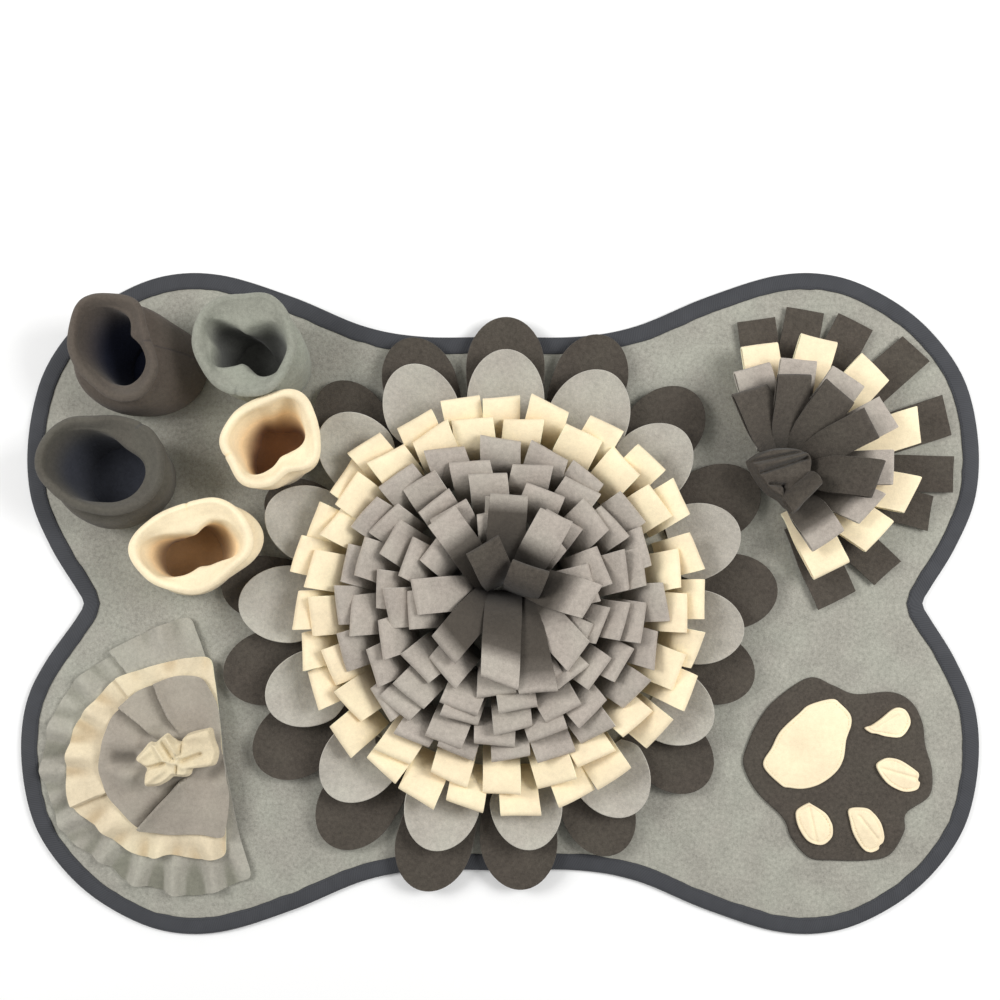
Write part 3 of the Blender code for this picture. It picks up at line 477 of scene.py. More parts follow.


# A finish starts from a colour and takes a share of each of its channels; pile is how strong
# its nap is, and the last column the colour, by the same two steps, that the attribute of
# darker roots and painted shade brings in.
WHOLE = (1, 1, 1)
PLAIN_PILE = 1.1
Finish = namedtuple("Finish", "colour share pile dyed", defaults=(WHOLE, PLAIN_PILE, None))
FINISHES = {
    "mat": Finish("mat", pile=1.6),
    "binding": Finish("binding"),
    "dark": Finish("dark", pile=2.0),
    "grey": Finish("grey"),
    "cream": Finish("cream", pile=0.45),
    # The strips' roots go dark: partly dark fleece, partly painted shade.
    "grey_strip": Finish("grey", (0.955, 0.905, 0.900), dyed=("dark", WHOLE)),
    # The bow and the ruffle's layers take darker shares of cream and grey: partly their own tone, partly
    # painted shade.
    "bow": Finish("cream", (0.78, 0.78, 0.78), 0.7),
    # The ruffle's last colours are painted shade in the hollows of its folds.
    "ruffle_bottom": Finish("grey", (0.86, 0.87, 0.85), 1.0, ("grey", (0.34, 0.36, 0.31))),
    "ruffle_middle": Finish("cream", (0.80, 0.81, 0.83), 0.6, ("cream", (0.46, 0.38, 0.29))),
    "ruffle_top": Finish("grey", (0.81, 0.77, 0.735), 0.8, ("grey", (0.26, 0.24, 0.22))),
}
# A cut edge is drawn paler: partly the fibres' own look, partly a painted highlight.
CUT_PALER = 1.25          # a cut edge of fleece is paler than its face
CUT_LIGHTER = 0.012


def share_of(name, share):
    """A colour of the panel with each channel multiplied."""
    rgb = getattr(bpy.context.scene.snuffle_colours, name)
    return [channel * part for channel, part in zip(rgb, share)]


def fabric(name):
    """The finish of that name, made once; a name with _cut is its paler cut edge."""
    full = "fleece " + name
    found = bpy.data.materials.get(full)
    if found:
        return found
    finish = FINISHES[name.removesuffix("_cut")]
    rgb = share_of(finish.colour, finish.share)
    if name.endswith("_cut"):
        return cloth(full, [channel * CUT_PALER + CUT_LIGHTER for channel in rgb], pile=0.8, lift=0.0006)
    dyed = share_of(*finish.dyed) if finish.dyed else None
    return cloth(full, rgb, pile=finish.pile, dyed=dyed)


# ---- Helpers --------------------------------------------------------------------------
def polar(radius, angle):
    """A vector of that length, turned from +X."""
    return Vector((math.cos(angle), math.sin(angle), 0)) * radius


def smooth_step(value):
    """Runs smoothly from 0 to 1 as the value does."""
    value = max(0.0, min(1.0, value))
    return value * value * (3 - 2 * value)


def catmull(a, b, c, d, t):
    """A share of the way from b to c, on the smooth curve through all four."""
    return 0.5 * (2 * b + (c - a) * t + (2 * a - 5 * b + 4 * c - d) * t ** 2
                  + (3 * b - a - 3 * c + d) * t ** 3)


def smooth_closed(points, steps):
    """A smooth closed curve through the points, in equal steps from the first point."""
    fine = 24
    dense = []
    count = len(points)
    for i in range(count):
        a, b, c, d = (Vector(points[(i + k) % count]) for k in (-1, 0, 1, 2))
        dense += [catmull(a, b, c, d, k / fine) for k in range(fine)]
    dense.append(dense[0])
    lengths = [0.0]
    for a, b in zip(dense, dense[1:]):
        lengths.append(lengths[-1] + (b - a).length)
    result = []
    at = 0
    for step in range(steps):
        want = lengths[-1] * step / steps
        while lengths[at + 1] < want:
            at += 1
        share = (want - lengths[at]) / (lengths[at + 1] - lengths[at])
        result.append(dense[at].lerp(dense[at + 1], share))
    return result


def smooth_open(points, steps):
    """Points along a smooth open curve, with the same number of steps between two of them."""
    points = [Vector(p) for p in points]
    ends = [2 * points[0] - points[1]] + points + [2 * points[-1] - points[-2]]
    result = []
    for a, b, c, d in zip(ends, ends[1:], ends[2:], ends[3:]):
        result += [catmull(a, b, c, d, k / steps) for k in range(steps)]
    return result + [points[-1]]


def read_round(table, angle):
    """Smoothly read a table of values for equal steps of a turn."""
    place = (angle / (2 * math.pi)) % 1 * len(table)
    at = int(place)
    a, b, c, d = (table[(at + k) % len(table)] for k in (-1, 0, 1, 2))
    return catmull(a, b, c, d, place - at)


def normals_of(outline):
    """Inward normals of an anticlockwise outline."""
    found = []
    for before, after in zip(outline[-1:] + outline[:-1], outline[1:] + outline[:1]):
        along = (after - before).normalized()
        found.append(Vector((-along.y, along.x)))
    return found


def mat_outline():
    """The whole bone, anticlockwise from the right notch: the quarter, mirrored twice."""
    first = [(x, y) for x, y in reversed(QUARTER_OUTLINE)]
    left = [(-x, y) for x, y in reversed(first[:-1])]
    below = [(-x, -y) for x, y in first[1:]]
    right = [(x, -y) for x, y in reversed(first[1:-1])]
    outline = smooth_closed(first + left + below + right, OUTLINE_STEPS)
    for spot in outline:
        share = smooth_step(-spot.x / 0.2 - 1) * smooth_step((spot.y + 0.09) / 0.08)
        spot.x += DRAWN_IN * share * (1 - smooth_step((spot.y - 0.20) / 0.12))
    return outline


def area_of(outline):
    """The area inside an outline."""
    return abs(sum(a.x * b.y - b.x * a.y for a, b in zip(outline, outline[1:] + outline[:1]))) / 2


def wobble(spot, scale, seed=0.0):
    """A smooth value from about -1 to 1 that varies from place to place."""
    return noise.noise(Vector(spot) * scale + Vector((seed, seed * 0.7, -seed)))


def cut_outline(points, steps):
    """A cut piece's smooth outline, anticlockwise, from clockwise points in millimetres."""
    return smooth_closed([Vector((x, y)) / 1000 for x, y in points[::-1]], steps)


def away_from(spot, start, end):
    """Distance of a point from the line between two others."""
    start, end = Vector(start), Vector(end)
    along = end - start
    share = max(0.0, min(1.0, (spot - start).dot(along) / along.length_squared))
    return (spot - start - along * share).length


def bend_grid(bm, made, across, along, place, dye=None, weld=False):
    """Move a flat grid's points. place(i, j) gives where the point of that row and column goes
    and, for a piece with a layer of darker roots and painted shade, how dark it is painted there."""
    for vert in made:
        i = round((vert.co.x + 1) / 2 * across)
        j = round((vert.co.y + 1) / 2 * along)
        if dye is None:
            vert.co = place(i, j)
        else:
            vert.co, vert[dye] = place(i, j)
    if weld:
        bmesh.ops.remove_doubles(bm, verts=made, dist=0.00002)


def lay_grid(bm, across, along, place, dye=None, weld=False):
    """Lay a grid of cloth."""
    made = bmesh.ops.create_grid(bm, x_segments=across, y_segments=along, size=1)["verts"]
    bend_grid(bm, made, across, along, place, dye, weld)


def start_dye_and_shade():
    """A bmesh and its layer of darker roots and painted shade."""
    bm = bmesh.new()
    return bm, bm.verts.layers.float.new("dye")


def frame_slot(node):
    """The record's material slot of a solid."""
    for part in frame["record"]["subparts"]:
        if part["node"] == node:
            return part["material_slot"]
    raise ValueError(f"no solid named {node}")


def add_mesh(name, bm, materials):
    """Turn a bmesh into an object of the scene."""
    mesh = bpy.data.meshes.new(name)
    bm.to_mesh(mesh)
    bm.free()
    for material in materials:
        mesh.materials.append(material)
    made = bpy.data.objects.new(name, mesh)
    bpy.context.scene.collection.objects.link(made)
    return made


def finish_piece(name, bm, node, materials, thickness=None, offset=0.0, rounding=None,
                 closed=False, trim=False):
    """Turn a bmesh into a piece that rides on the mat, takes the materials given and stands for
    that solid, unless it is only a trim on it."""
    if closed:
        bmesh.ops.recalc_face_normals(bm, faces=bm.faces)
    made = add_mesh(name, bm, materials)
    made.data.shade_smooth()
    if thickness:
        solid = made.modifiers.new("thickness", "SOLIDIFY")
        solid.thickness = thickness
        solid.offset = offset
        if len(materials) > 1:
            solid.material_offset_rim = 1
    if rounding:
        bevel = made.modifiers.new("cut edge", "BEVEL")
        bevel.width = rounding
        bevel.segments = 2
        bevel.limit_method = "ANGLE"
        bevel.angle_limit = math.radians(50)
        bevel.harden_normals = True
    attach(made, "root")
    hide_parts(*([] if trim else [node]))
    frame_slot(node)
    return made


def cut_piece(name, bm, node, finish, closed=False):
    """A piece of one layer of fleece, with a paler cut edge."""
    sizes = bpy.context.scene.snuffle_sizes
    materials = [fabric(finish), fabric(frame_slot(node) + "_cut")]
    return finish_piece(name, bm, node, materials, thickness=sizes.fleece,
                        rounding=sizes.cut_edge, closed=closed)


STITCH_PITCH = 1.35       # in lengths of a stitch


def sew_round(name, node, path):
    """A row of machine stitches on a solid's piece, along a closed path."""
    sizes = bpy.context.scene.snuffle_sizes
    pitch = sizes.stitch * STITCH_PITCH
    up = Vector((0, 0, 1))
    bm = bmesh.new()
    since = pitch / 2
    for a, b in zip(path, path[1:] + path[:1]):
        step = (b - a).length
        along = (b - a).normalized()
        side = up.cross(along).normalized()
        while since <= step:
            spot = a.lerp(b, since / step)
            for vert in bmesh.ops.create_icosphere(bm, subdivisions=1, radius=0.5)["verts"]:
                co = vert.co
                vert.co = (spot + along * co.x * sizes.stitch + side * co.y * sizes.thread
                           + up * co.z * sizes.thread)
            since += pitch
        since -= step
    finish_piece(name, bm, node, [fabric(frame_slot(node))], closed=True, trim=True)


# ---- The base mat and its edge tape ---------------------------------------------------
MAT_RINGS = 44
PUFF = 0.014              # how far in from the tape the mat swells to its full thickness
THIN_RIM = 0.016          # how far in from the outline the mat is drawn thin
SHOULDER = 0.0155         # how far in the thin rim under the tape ends
SHOULDER_HIGH = TONGUE_HIGH - 0.0002


def face_level(edge, spot, inside):
    """The level of the mat's face, so far inside its thin rim: it swells there, with puckers."""
    puckers = 0.5 + 0.5 * wobble((edge.x, edge.y, 0), 55)
    swell = smooth_step(inside / (PUFF * (0.7 + 0.5 * puckers)))
    flat = (spot.x, spot.y, 0)
    soft = 0.5 + 0.5 * wobble(flat, 14) + 0.25 * wobble(flat, 42, 3)
    high = SHOULDER_HIGH + (MAT_THICK - TONGUE_HIGH) * swell - 0.0006 * soft * swell
    return min(high, MAT_THICK + 0.0002)


def make_mat():
    """The base: a bone-shaped quilt, drawn in under its tape."""
    outline = mat_outline()
    inward = normals_of(outline)
    reach = TAPE + GAP
    # A row starts so far in from the outline, lies at a share of the way there from the
    # middle, and has a level, which face_level works out where none is given.
    rows = [(THIN_RIM, share, 0.0) for share in (0.0, 0.25, 0.5, 0.75, 1.0)]
    rows += [(SHOULDER, 1, TONGUE_LOW), (reach, 1, TONGUE_LOW), (reach, 1, TONGUE_HIGH),
             (SHOULDER, 1, SHOULDER_HIGH)]
    rows += [(THIN_RIM, 1 - k / MAT_RINGS, None) for k in range(MAT_RINGS + 1)]

    def place(i, j):
        edge, normal = outline[i % OUTLINE_STEPS], inward[i % OUTLINE_STEPS]
        inside, share, level = rows[j]
        rim = edge + normal * inside
        spot = rim * share
        if level is None:
            level = face_level(edge, spot, rim.length * (1 - share))
        return Vector((spot.x, spot.y, level))

    bm = bmesh.new()
    lay_grid(bm, OUTLINE_STEPS, len(rows) - 1, place, weld=True)
    made = finish_piece("base_mat", bm, "mat", [fabric("mat")], closed=True)
    area_of(outline)


# The tape's section: how far in from the outline, and how high, from its lower inner edge
# round the rim to its upper one and back along its inner side.
TAPE_PROFILE = (
    (0.0150, 0.0002), (0.0075, 0.0), (0.0012, 0.0001), (0.0002, 0.0010), (0.0, 0.0024),
    (0.0003, 0.0038), (0.0013, 0.0047), (0.0045, 0.0051), (0.0100, 0.0051), (0.0150, 0.0048),
    (0.0170, 0.0044), (0.0173, 0.0039), (0.0160, 0.0037), (0.0060, 0.0037), (0.0016, 0.0036),
    (0.0011, 0.0030), (0.0011, 0.0018), (0.0016, 0.0012), (0.0060, 0.0011), (0.0145, 0.0011),
)
TAPE_ROUND = 0.07         # the way round that section


def make_tape():
    """The edge tape, folded round the rim and sewn down, with small puckers."""
    outline = mat_outline()
    inward = normals_of(outline)
    perimeter = sum((b - a).length for a, b in zip(outline, outline[1:] + outline[:1]))
    count = len(TAPE_PROFILE)
    bm = bmesh.new()
    run = bm.loops.layers.uv.new("run")
    grid = bmesh.ops.create_grid(bm, x_segments=OUTLINE_STEPS, y_segments=count, size=1)["verts"]
    for face in bm.faces:
        for loop in face.loops:
            co = loop.vert.co
            loop[run].uv = ((co.x + 1) / 2 * perimeter, (co.y + 1) / 2 * TAPE_ROUND)

    def place(i, j):
        edge, normal = outline[i % OUTLINE_STEPS], inward[i % OUTLINE_STEPS]
        inside, high = TAPE_PROFILE[j % count]
        share = inside / BINDING_WIDTH
        pucker = wobble((edge.x, edge.y, 0), 70)
        spot = edge + normal * (inside + 0.0006 * share ** 4 * pucker)
        if high > TONGUE_HIGH:
            high += 0.0004 * pucker * math.sin(math.pi * share)
        return Vector((spot.x, spot.y, max(0.0, high)))

    bend_grid(bm, grid, OUTLINE_STEPS, count, place, weld=True)
    slate = woven_tape(bpy.context.scene.snuffle_colours.binding)
    made = finish_piece("edge_tape", bm, "binding", [slate], closed=True)
    line = [Vector((edge.x, edge.y, BINDING_HIGH + 0.0001)) + normal.to_3d() * BINDING_WIDTH
            for edge, normal in zip(outline, inward)]
    sew_round("edge_stitches", "binding", line)


# ---- Folded strips --------------------------------------------------------------------
LEG_STEPS = 9
FOLD_STEPS = 6
FOOT_HALF = 0.0011        # half the way between a strip's legs at its seam
TAB_STEPS = 8
TAB_RISE = 14             # steps up a flat tab to its full width and play
# A strip's darker root, partly dark fleece and partly painted shade:
DYE_AND_SHADE_EARLY = 0.08          # the dark fades from this far below its reach,
DYE_AND_SHADE_FADE = 0.17           # over this share of the strip
# Where the bend of a strip is, as shares of its reach and of its height.
STANDING = (0.14, 0.88)
TOP_STANDING = (0.05, 0.97)
FAN_STANDING = (0.20, 0.82)


def strip_profile(root, tip, pull, fold):
    """The middle line of a folded strip, seen from its side, with the share of the way up:
    up its outer leg, round the fold and down its inner leg."""
    root, tip = Vector(root), Vector(tip)
    bend = Vector((root.x + (tip.x - root.x) * pull[0], root.y + (tip.y - root.y) * pull[1]))
    last = (tip - bend).normalized()
    tip = tip - last * fold
    outer, inner = [], []
    for step in range(LEG_STEPS + 1):
        t = step / LEG_STEPS
        point = root * (1 - t) ** 2 + bend * 2 * t * (1 - t) + tip * t ** 2
        along = ((bend - root) * (1 - t) + (tip - bend) * t).normalized()
        across = Vector((along.y, -along.x)) * (FOOT_HALF + (fold - FOOT_HALF) * smooth_step(t * 1.1))
        outer.append((point + across, t))
        inner.append((point - across, t))
    turned = []
    side = Vector((last.y, -last.x))
    for step in range(1, FOLD_STEPS):
        angle = math.pi * step / FOLD_STEPS
        turned.append((tip + side * math.cos(angle) * fold + last * math.sin(angle) * fold, 1.0))
    return outer + turned + inner[::-1]


def lay_strip(bm, dye_and_shade_layer, start, angle, profile, half_at, dye, chance, skew=None, tilt=0.0):
    """Lay one strip along its profile, a little skewed, twisted and bent, as sewn by hand. One
    placed by its corners has its skew given, and less play.
    Returns the length and the area of the cloth it is cut from."""
    placed = skew is not None
    play, roll_most = (0.45, 0.045) if placed else (1.0, 0.36)
    if not placed:
        skew = math.radians(chance.uniform(-11, 11))
    roll = chance.uniform(-roll_most, roll_most)
    cup = chance.uniform(-0.0010, 0.0024) * play
    seed = chance.uniform(0, 90)
    outward = polar(1, angle)
    aside = Vector((-outward.y, outward.x, 0))
    across = bpy.context.scene.snuffle_sizes.strip_steps

    def place(i, j):
        (reach, high), share = profile[j]
        u = 2 * i / across - 1
        off = u * half_at(reach, share)
        spot = start + outward * (reach - off * math.tan(skew) * share) + aside * off
        spot.z = high + min(1, share * 2) * tilt * off + share * (roll * off + cup * (1 - u ** 2))
        drift = (wobble(spot, 28, seed), wobble(spot, 28, seed + 7), wobble(spot, 34, seed + 13))
        # Darker towards the root: partly dark fleece, partly painted shade.
        dark = 1 - smooth_step((share - dye + DYE_AND_SHADE_EARLY) / DYE_AND_SHADE_FADE) if dye else 0.0
        return spot + Vector(drift) * 0.0011 * share, dark

    lay_grid(bm, across, len(profile) - 1, place, dye_and_shade_layer)
    steps = [((b[0] - a[0]).length, half_at(b[0].x, b[1])) for a, b in zip(profile, profile[1:])]
    return Vector((sum(step for step, _ in steps), sum(2 * step * half for step, half in steps)))


def lay_placed_strip(bm, dye_and_shade_layer, strip, pull, fold, chance, origin=Vector((0, 0, 0)), tilt=0.0):
    """Lay a strip from its own root to the two corners of its fold, or of its free end."""
    root, left, right = (Vector((*spot, 0)) / 1000 for spot in (strip.root, strip.left, strip.right))
    way = (left + right) / 2 - root
    across = left - right
    angle = math.atan2(way.y, way.x)
    skew = -math.atan2(across.dot(way), across.dot(Vector((-way.y, way.x, 0))))
    low = FLOOR_OF_TRIM + 0.001
    tip = (way.length, strip.high / 1000)
    foot, width = strip.foot / 2000, across.length / 2
    if fold:
        profile = strip_profile((0, low), tip, pull, fold)
    else:
        line = smooth_open([(0, low), (way.length / 2, low + 0.003), tip], TAB_STEPS)
        profile = [(point, min(1.0, k / TAB_RISE)) for k, point in enumerate(line)]

    def half_at(reach, share):
        return foot + (width - foot) * smooth_step(share * 1.5)

    return lay_strip(bm, dye_and_shade_layer, origin + root, angle, profile, half_at, strip.dye, chance, skew, tilt)


def cuts_between(angles):
    """Angles where one strip's place on the backing ends and the next one's begins."""
    middles = [(a + b) / 2 for a, b in zip(angles, angles[1:])]
    seam = (angles[0] + angles[-1] + 360) / 2
    return [seam] + middles + [seam - 360]


def finish_strips(name, bm, node, shade, cut, count):
    """Turn laid strips into a piece; cut is their length and their area in all."""
    made = cut_piece(name, bm, node, "grey_strip" if shade == "grey" else shade)
    long_side, area = cut
    flat = (long_side / count, bpy.context.scene.snuffle_sizes.strip_width * count)


def make_loop_ring(ring):
    """One ring of folded strips."""
    jitter = random.Random(ring.name)
    chance = random.Random(ring.name + " cloth")
    cuts = cuts_between(ring.angles)
    strip_width = bpy.context.scene.snuffle_sizes.strip_width
    root = (ring.root_r, FLOOR_OF_TRIM + BACKING_HIGH - 0.002)
    bm, dye_and_shade_layer = start_dye_and_shade()
    total = Vector((0, 0))
    for start, stop in zip(cuts, cuts[1:]):
        room = 2 * ring.root_r * math.tan(math.radians(start - stop) / 2)
        tip_r = ring.tip_r + jitter.uniform(-0.0055, 0.0055)
        tip_z = ring.tip_z + jitter.uniform(-0.0015, 0.0015)
        fold = ring.fold * chance.uniform(0.85, 1.2)
        profile = strip_profile(root, (tip_r, tip_z), STANDING, fold)
        angle = math.radians((start + stop) / 2 + chance.uniform(-2.6, 2.6))
        width = strip_width * chance.uniform(0.92, 1.0)

        def half_at(reach, share):
            half = min(width, (room - 0.001) * max(reach, ring.root_r) / ring.root_r) / 2
            return half * (1 - share) + width / 2 * share if share > 0.5 else half

        total += lay_strip(bm, dye_and_shade_layer, Vector(), angle, profile, half_at, ring.dye, chance)
    finish_strips(ring.name + "_cloth", bm, ring.name, ring.colour, total, len(ring.angles))


def make_placed_strips(name, node, shade, strips, pull, fold):
    """Strips that lie one by one as in the photo."""
    chance = random.Random(name)
    bm, dye_and_shade_layer = start_dye_and_shade()
    total = Vector((0, 0))
    for strip in strips:
        total += lay_placed_strip(bm, dye_and_shade_layer, strip, pull, fold, chance)
    finish_strips(name, bm, node, shade, total, len(strips))


# ---- Petals ---------------------------------------------------------------------------
PETAL_ACROSS = 14
PETAL_STRAIGHT = 6
PETAL_ROUND = 10
PETAL_POINT = 1.3         # length of the round end in half widths
PETAL_FOOT = 0.72         # width at the seam, as a share of the widest
GROOVE = 0.30             # half width of the valley down its middle, as a share of its half width


def make_petals(node, petals, foot, valley):
    """Round-ended petals: they leave their seam pinched and open to a shallow dish."""
    name = node + "_cloth"
    chance = random.Random(name)
    bm = bmesh.new()
    flat_area = 0
    for petal in petals:
        outward = polar(1, math.radians(petal.angle))
        aside = Vector((-outward.y, outward.x, 0))
        half = petal.width / 2
        rounded = half * PETAL_POINT
        straight = petal.tip_r - PETAL_RING_R - rounded
        seed = chance.uniform(0, 90)
        lean = chance.uniform(-0.06, 0.06)
        pinch = chance.uniform(0.8, 1.2) * valley

        def place(i, j):
            u = 2 * i / PETAL_ACROSS - 1
            if j <= PETAL_STRAIGHT:
                v = j / PETAL_STRAIGHT
                x = u * (PETAL_FOOT + (1 - PETAL_FOOT) * math.sin(v * math.pi / 2))
                y = straight * v
            else:
                v = (j - PETAL_STRAIGHT) / PETAL_ROUND
                x = u * math.sqrt(1 - v * v / 2)
                y = straight + rounded * v * math.sqrt(1 - u * u / 2)
            share = y / (straight + rounded)
            lift = petal.lift * share ** 1.15
            dish = petal.cup * x * x * math.sin(math.pi * min(1, share * 0.8))
            pinched = pinch * (1 - smooth_step(share * 1.25))
            groove = pinched * (0.6 - math.exp(-(x / GROOVE) ** 2))
            spot = outward * (PETAL_RING_R + y) + aside * x * half
            soft = 0.0011 * wobble(spot, 30, seed) * share
            spot.z = foot + 0.001 + lift + dish + groove + soft + lean * x * half * share
            return spot

        lay_grid(bm, PETAL_ACROSS, PETAL_STRAIGHT + PETAL_ROUND, place)
        flat_area += petal.width * straight * 0.9 + math.pi * half * rounded / 2
    made = cut_piece(name, bm, node, frame_slot(node))


# ---- Tubes ----------------------------------------------------------------------------
TUBE_AROUND = 144
TUBE_SMOOTH = 4
TUBE_FLEECE = 0.0016
CUFF_LOW = 0.015          # where the turned-over cuff ends
ROLL = 0.0095             # thickness of the rolled rim
NECK = 0.0055             # how far the wall draws in below the rim
WALL_FROM = 3 * TUBE_SMOOTH       # the rows of a tube from which it is wall,
LINING_FROM = 11 * TUBE_SMOOTH    # and from which it is lining
TUBE_CUT = 2.1            # cloth up the wall, over the rim and down inside, in heights
SEAM_SHADE = 0.3          # how dark the sewn line up a tube looks


def oval(half, angle):
    """Reach of an oval with these half sizes."""
    return 1 / math.hypot(math.cos(angle) / half[0], math.sin(angle) / half[1])


def tube_profile(tube, angle):
    """A tube's section at an angle: up its wall, over its rim and down to its floor's middle."""
    foot, centre = Vector((*tube.foot, 0)), Vector((*tube.centre, 0))
    top = tube.high
    rim = read_round(tube.rim, angle) / 1000
    hole = min(read_round(tube.mouth, angle) / 1000, rim - ROLL)
    base = oval(tube.foot_half, angle)
    floor = min(read_round(tube.floor, angle) / 1000, base * 0.86)
    sewn = (angle - math.radians(tube.seam) + math.pi) % (2 * math.pi) - math.pi
    rim -= 0.0012 * math.exp(-(sewn / 0.035) ** 2)
    way = polar(1, angle)
    middle, swell, wide = tube.bulge
    around = (math.degrees(angle) - middle + 180) % 360 - 180
    bulge = swell / 1000 * math.exp(-(around / wide) ** 2)

    def spot(share, reach, high):
        """A point that far out from a middle between the foot's, 0, and the rim's, 1."""
        return foot.lerp(centre, share) + way * reach + Vector((0, 0, high))

    return smooth_open([
        spot(0, base * 0.93, FLOOR_OF_TRIM + 0.001),
        spot(0, base * 0.93, CUFF_LOW - 0.003),
        spot(0.06, base * 0.95 + 0.0030 + bulge * 0.25, CUFF_LOW - 0.0005),
        spot(0.10, base * 0.95 + 0.0044 + bulge * 0.45, CUFF_LOW + 0.003),
        spot(0.34, base * 0.68 + rim * 0.30 + 0.002 + bulge * 0.9, top * 0.42),
        spot(0.74, base * 0.26 + rim * 0.74 + bulge * 0.8, top * 0.66),
        spot(1, rim - NECK, top * 0.80),
        spot(1, rim, top - ROLL / 2),
        spot(1, rim - ROLL * 0.15, top - ROLL * 0.15),
        spot(1, rim - ROLL / 2, top),
        spot(1, rim - ROLL * 0.85, top - ROLL * 0.16),
        spot(1, (rim - ROLL) * 0.6 + hole * 0.4, top - ROLL * 0.62),
        spot(1, hole, top - ROLL * 1.25),
        spot(0.55, hole * 0.5 + floor * 0.5, top * 0.45),
        spot(0, floor, top * 0.14),
        spot(0, floor * 0.93, FLOOR_OF_TRIM + 0.0016),
        spot(0, floor * 0.5, FLOOR_OF_TRIM + 0.0014),
        spot(0, 0, FLOOR_OF_TRIM + 0.0014),
    ], TUBE_SMOOTH)


def make_tube(tube):
    """A fleece sleeve turned over into a thick soft rim, its cuff ending above the mat."""
    top = tube.high
    seed = top * 1000 + tube.foot[0] * 31
    profiles = [tube_profile(tube, 2 * math.pi * k / TUBE_AROUND) for k in range(TUBE_AROUND)]
    seam = round(tube.seam / 360 * TUBE_AROUND)

    def place(i, j):
        spot = profiles[i % TUBE_AROUND][j]
        share = smooth_step((spot.z - FLOOR_OF_TRIM) / top * 1.2)
        soft = Vector((wobble(spot, 26, seed), wobble(spot, 26, seed + 5), wobble(spot, 22, seed + 9)))
        fine = Vector((0, 0, wobble(spot, 75, seed + 3) * 0.0006))
        # Painted shade: deep inside, the wall is painted darker towards the inside colour.
        deep = (tube.shade_from - spot.z / top) / (tube.shade_from - tube.shade_to)
        sewn = i == seam and WALL_FROM < j < LINING_FROM - TUBE_SMOOTH
        dark = smooth_step(deep) if j > LINING_FROM else SEAM_SHADE * sewn
        return spot + (soft * 0.0021 + fine) * share, dark

    bm, dye_and_shade_layer = start_dye_and_shade()
    lay_grid(bm, TUBE_AROUND, len(profiles[0]) - 1, place, dye_and_shade_layer, weld=True)
    rgb = getattr(bpy.context.scene.snuffle_colours, tube.colour)
    pile = FINISHES["cream"].pile if tube.warm else PLAIN_PILE
    finish = cloth("fleece " + tube.name, rgb, pile=pile, dyed=tube.lining, warm=tube.warm)
    made = finish_piece(tube.name + "_cloth", bm, tube.name, [finish],
                        thickness=TUBE_FLEECE, offset=-1.0, closed=True)
    around = math.pi * (tube.foot_half[0] + tube.foot_half[1])
    top * TUBE_CUT


# ---- The ruffle and its bow -----------------------------------------------------------
RUFFLE_AROUND = 420
RUFFLE_ROWS = 46
PLEAT = 0.0024            # width over which a pleat drops
PLEAT_HIGH_SIDE = 0.010   # how far its raised side reaches
PLEAT_LOW_SIDE = 0.008
VALLEY = 0.0085
# Painted shade in the hollows of a layer's folds:
HOLLOW = 0.006            # depth below the layer at which a fold is at its darkest
HOLLOW_SHADE = 0.75
LOWEST_FOLD = 0.0021      # how far below its layer a fold may hang
LEAST_CLOTH = 0.31        # least cloth in a layer, as a share of the square it is cut from


def from_crease(crease, spot):
    """How far a point lies to the right of a crease, and how much of the crease is there."""
    best = None
    points = [Vector(point) / 1000 for point in crease.points]
    count = len(points) - 1
    for step, (start, end) in enumerate(zip(points, points[1:])):
        along = end - start
        share = (spot - start).dot(along) / along.length_squared
        held = max(0.0, min(1.0, share))
        away = spot - start - along * held
        if best is None or away.length < abs(best[0]):
            side = 1 if along.x * away.y - along.y * away.x < 0 else -1
            best = (side * away.length, (step + held) / count)
    far, place = best
    return far, 1 - smooth_step((place - crease.fade) / (1 - crease.fade))


def crease_lift(crease, spot):
    """How much one crease lifts the cloth at a point."""
    far, strength = from_crease(crease, spot)
    depth = crease.depth / 1000 * strength
    if crease.low == 0:
        far = abs(far)
        return depth * (0.45 * math.exp(-((far - 1.9 * VALLEY) / VALLEY) ** 2)
                        - 0.65 * math.exp(-(far / VALLEY) ** 2))
    far *= crease.low
    raised = math.exp(min(0.0, far) / PLEAT_HIGH_SIDE)
    sunk = -0.55 * math.exp(-max(0.0, far) / PLEAT_LOW_SIDE)
    cross = smooth_step(far / PLEAT + 0.5)
    return depth * (raised * (1 - cross) + sunk * cross)


def make_ruffle(layer):
    """One gathered layer, its creases running out from the bow."""
    middle = Vector((*RUFFLE_CENTRE, 0))
    outline = cut_outline(layer.outline, RUFFLE_AROUND)

    def place(i, j):
        edge = outline[i % RUFFLE_AROUND]
        share = j / RUFFLE_ROWS
        inner = RUFFLE_GATHER_R / edge.length
        flat = edge * (inner + (1 - inner) * share)
        spot = middle + flat.to_3d()
        soft = 0.0014 * wobble(spot, 26, len(layer.creases)) * share
        high = layer.foot + layer.rise * (1 - share ** 1.5) + soft
        lift = sum(crease_lift(crease, flat) for crease in layer.creases)
        spot.z = max(high + lift, layer.foot - LOWEST_FOLD)
        # Painted shade in the hollows of the folds.
        return spot, HOLLOW_SHADE * smooth_step(-lift / HOLLOW)

    bm, dye_and_shade_layer = start_dye_and_shade()
    lay_grid(bm, RUFFLE_AROUND, RUFFLE_ROWS, place, dye_and_shade_layer, weld=True)
    made = cut_piece(layer.name + "_cloth", bm, layer.name, layer.name, closed=True)
    wide = 2 * max(p.length for p in outline)
    area = max(LEAST_CLOTH * wide * wide, area_of(outline))


GATHER_AROUND = 180
GATHER_ROWS = 30
GATHER_EDGE = 0.0008      # how high its edge bulges above its underside


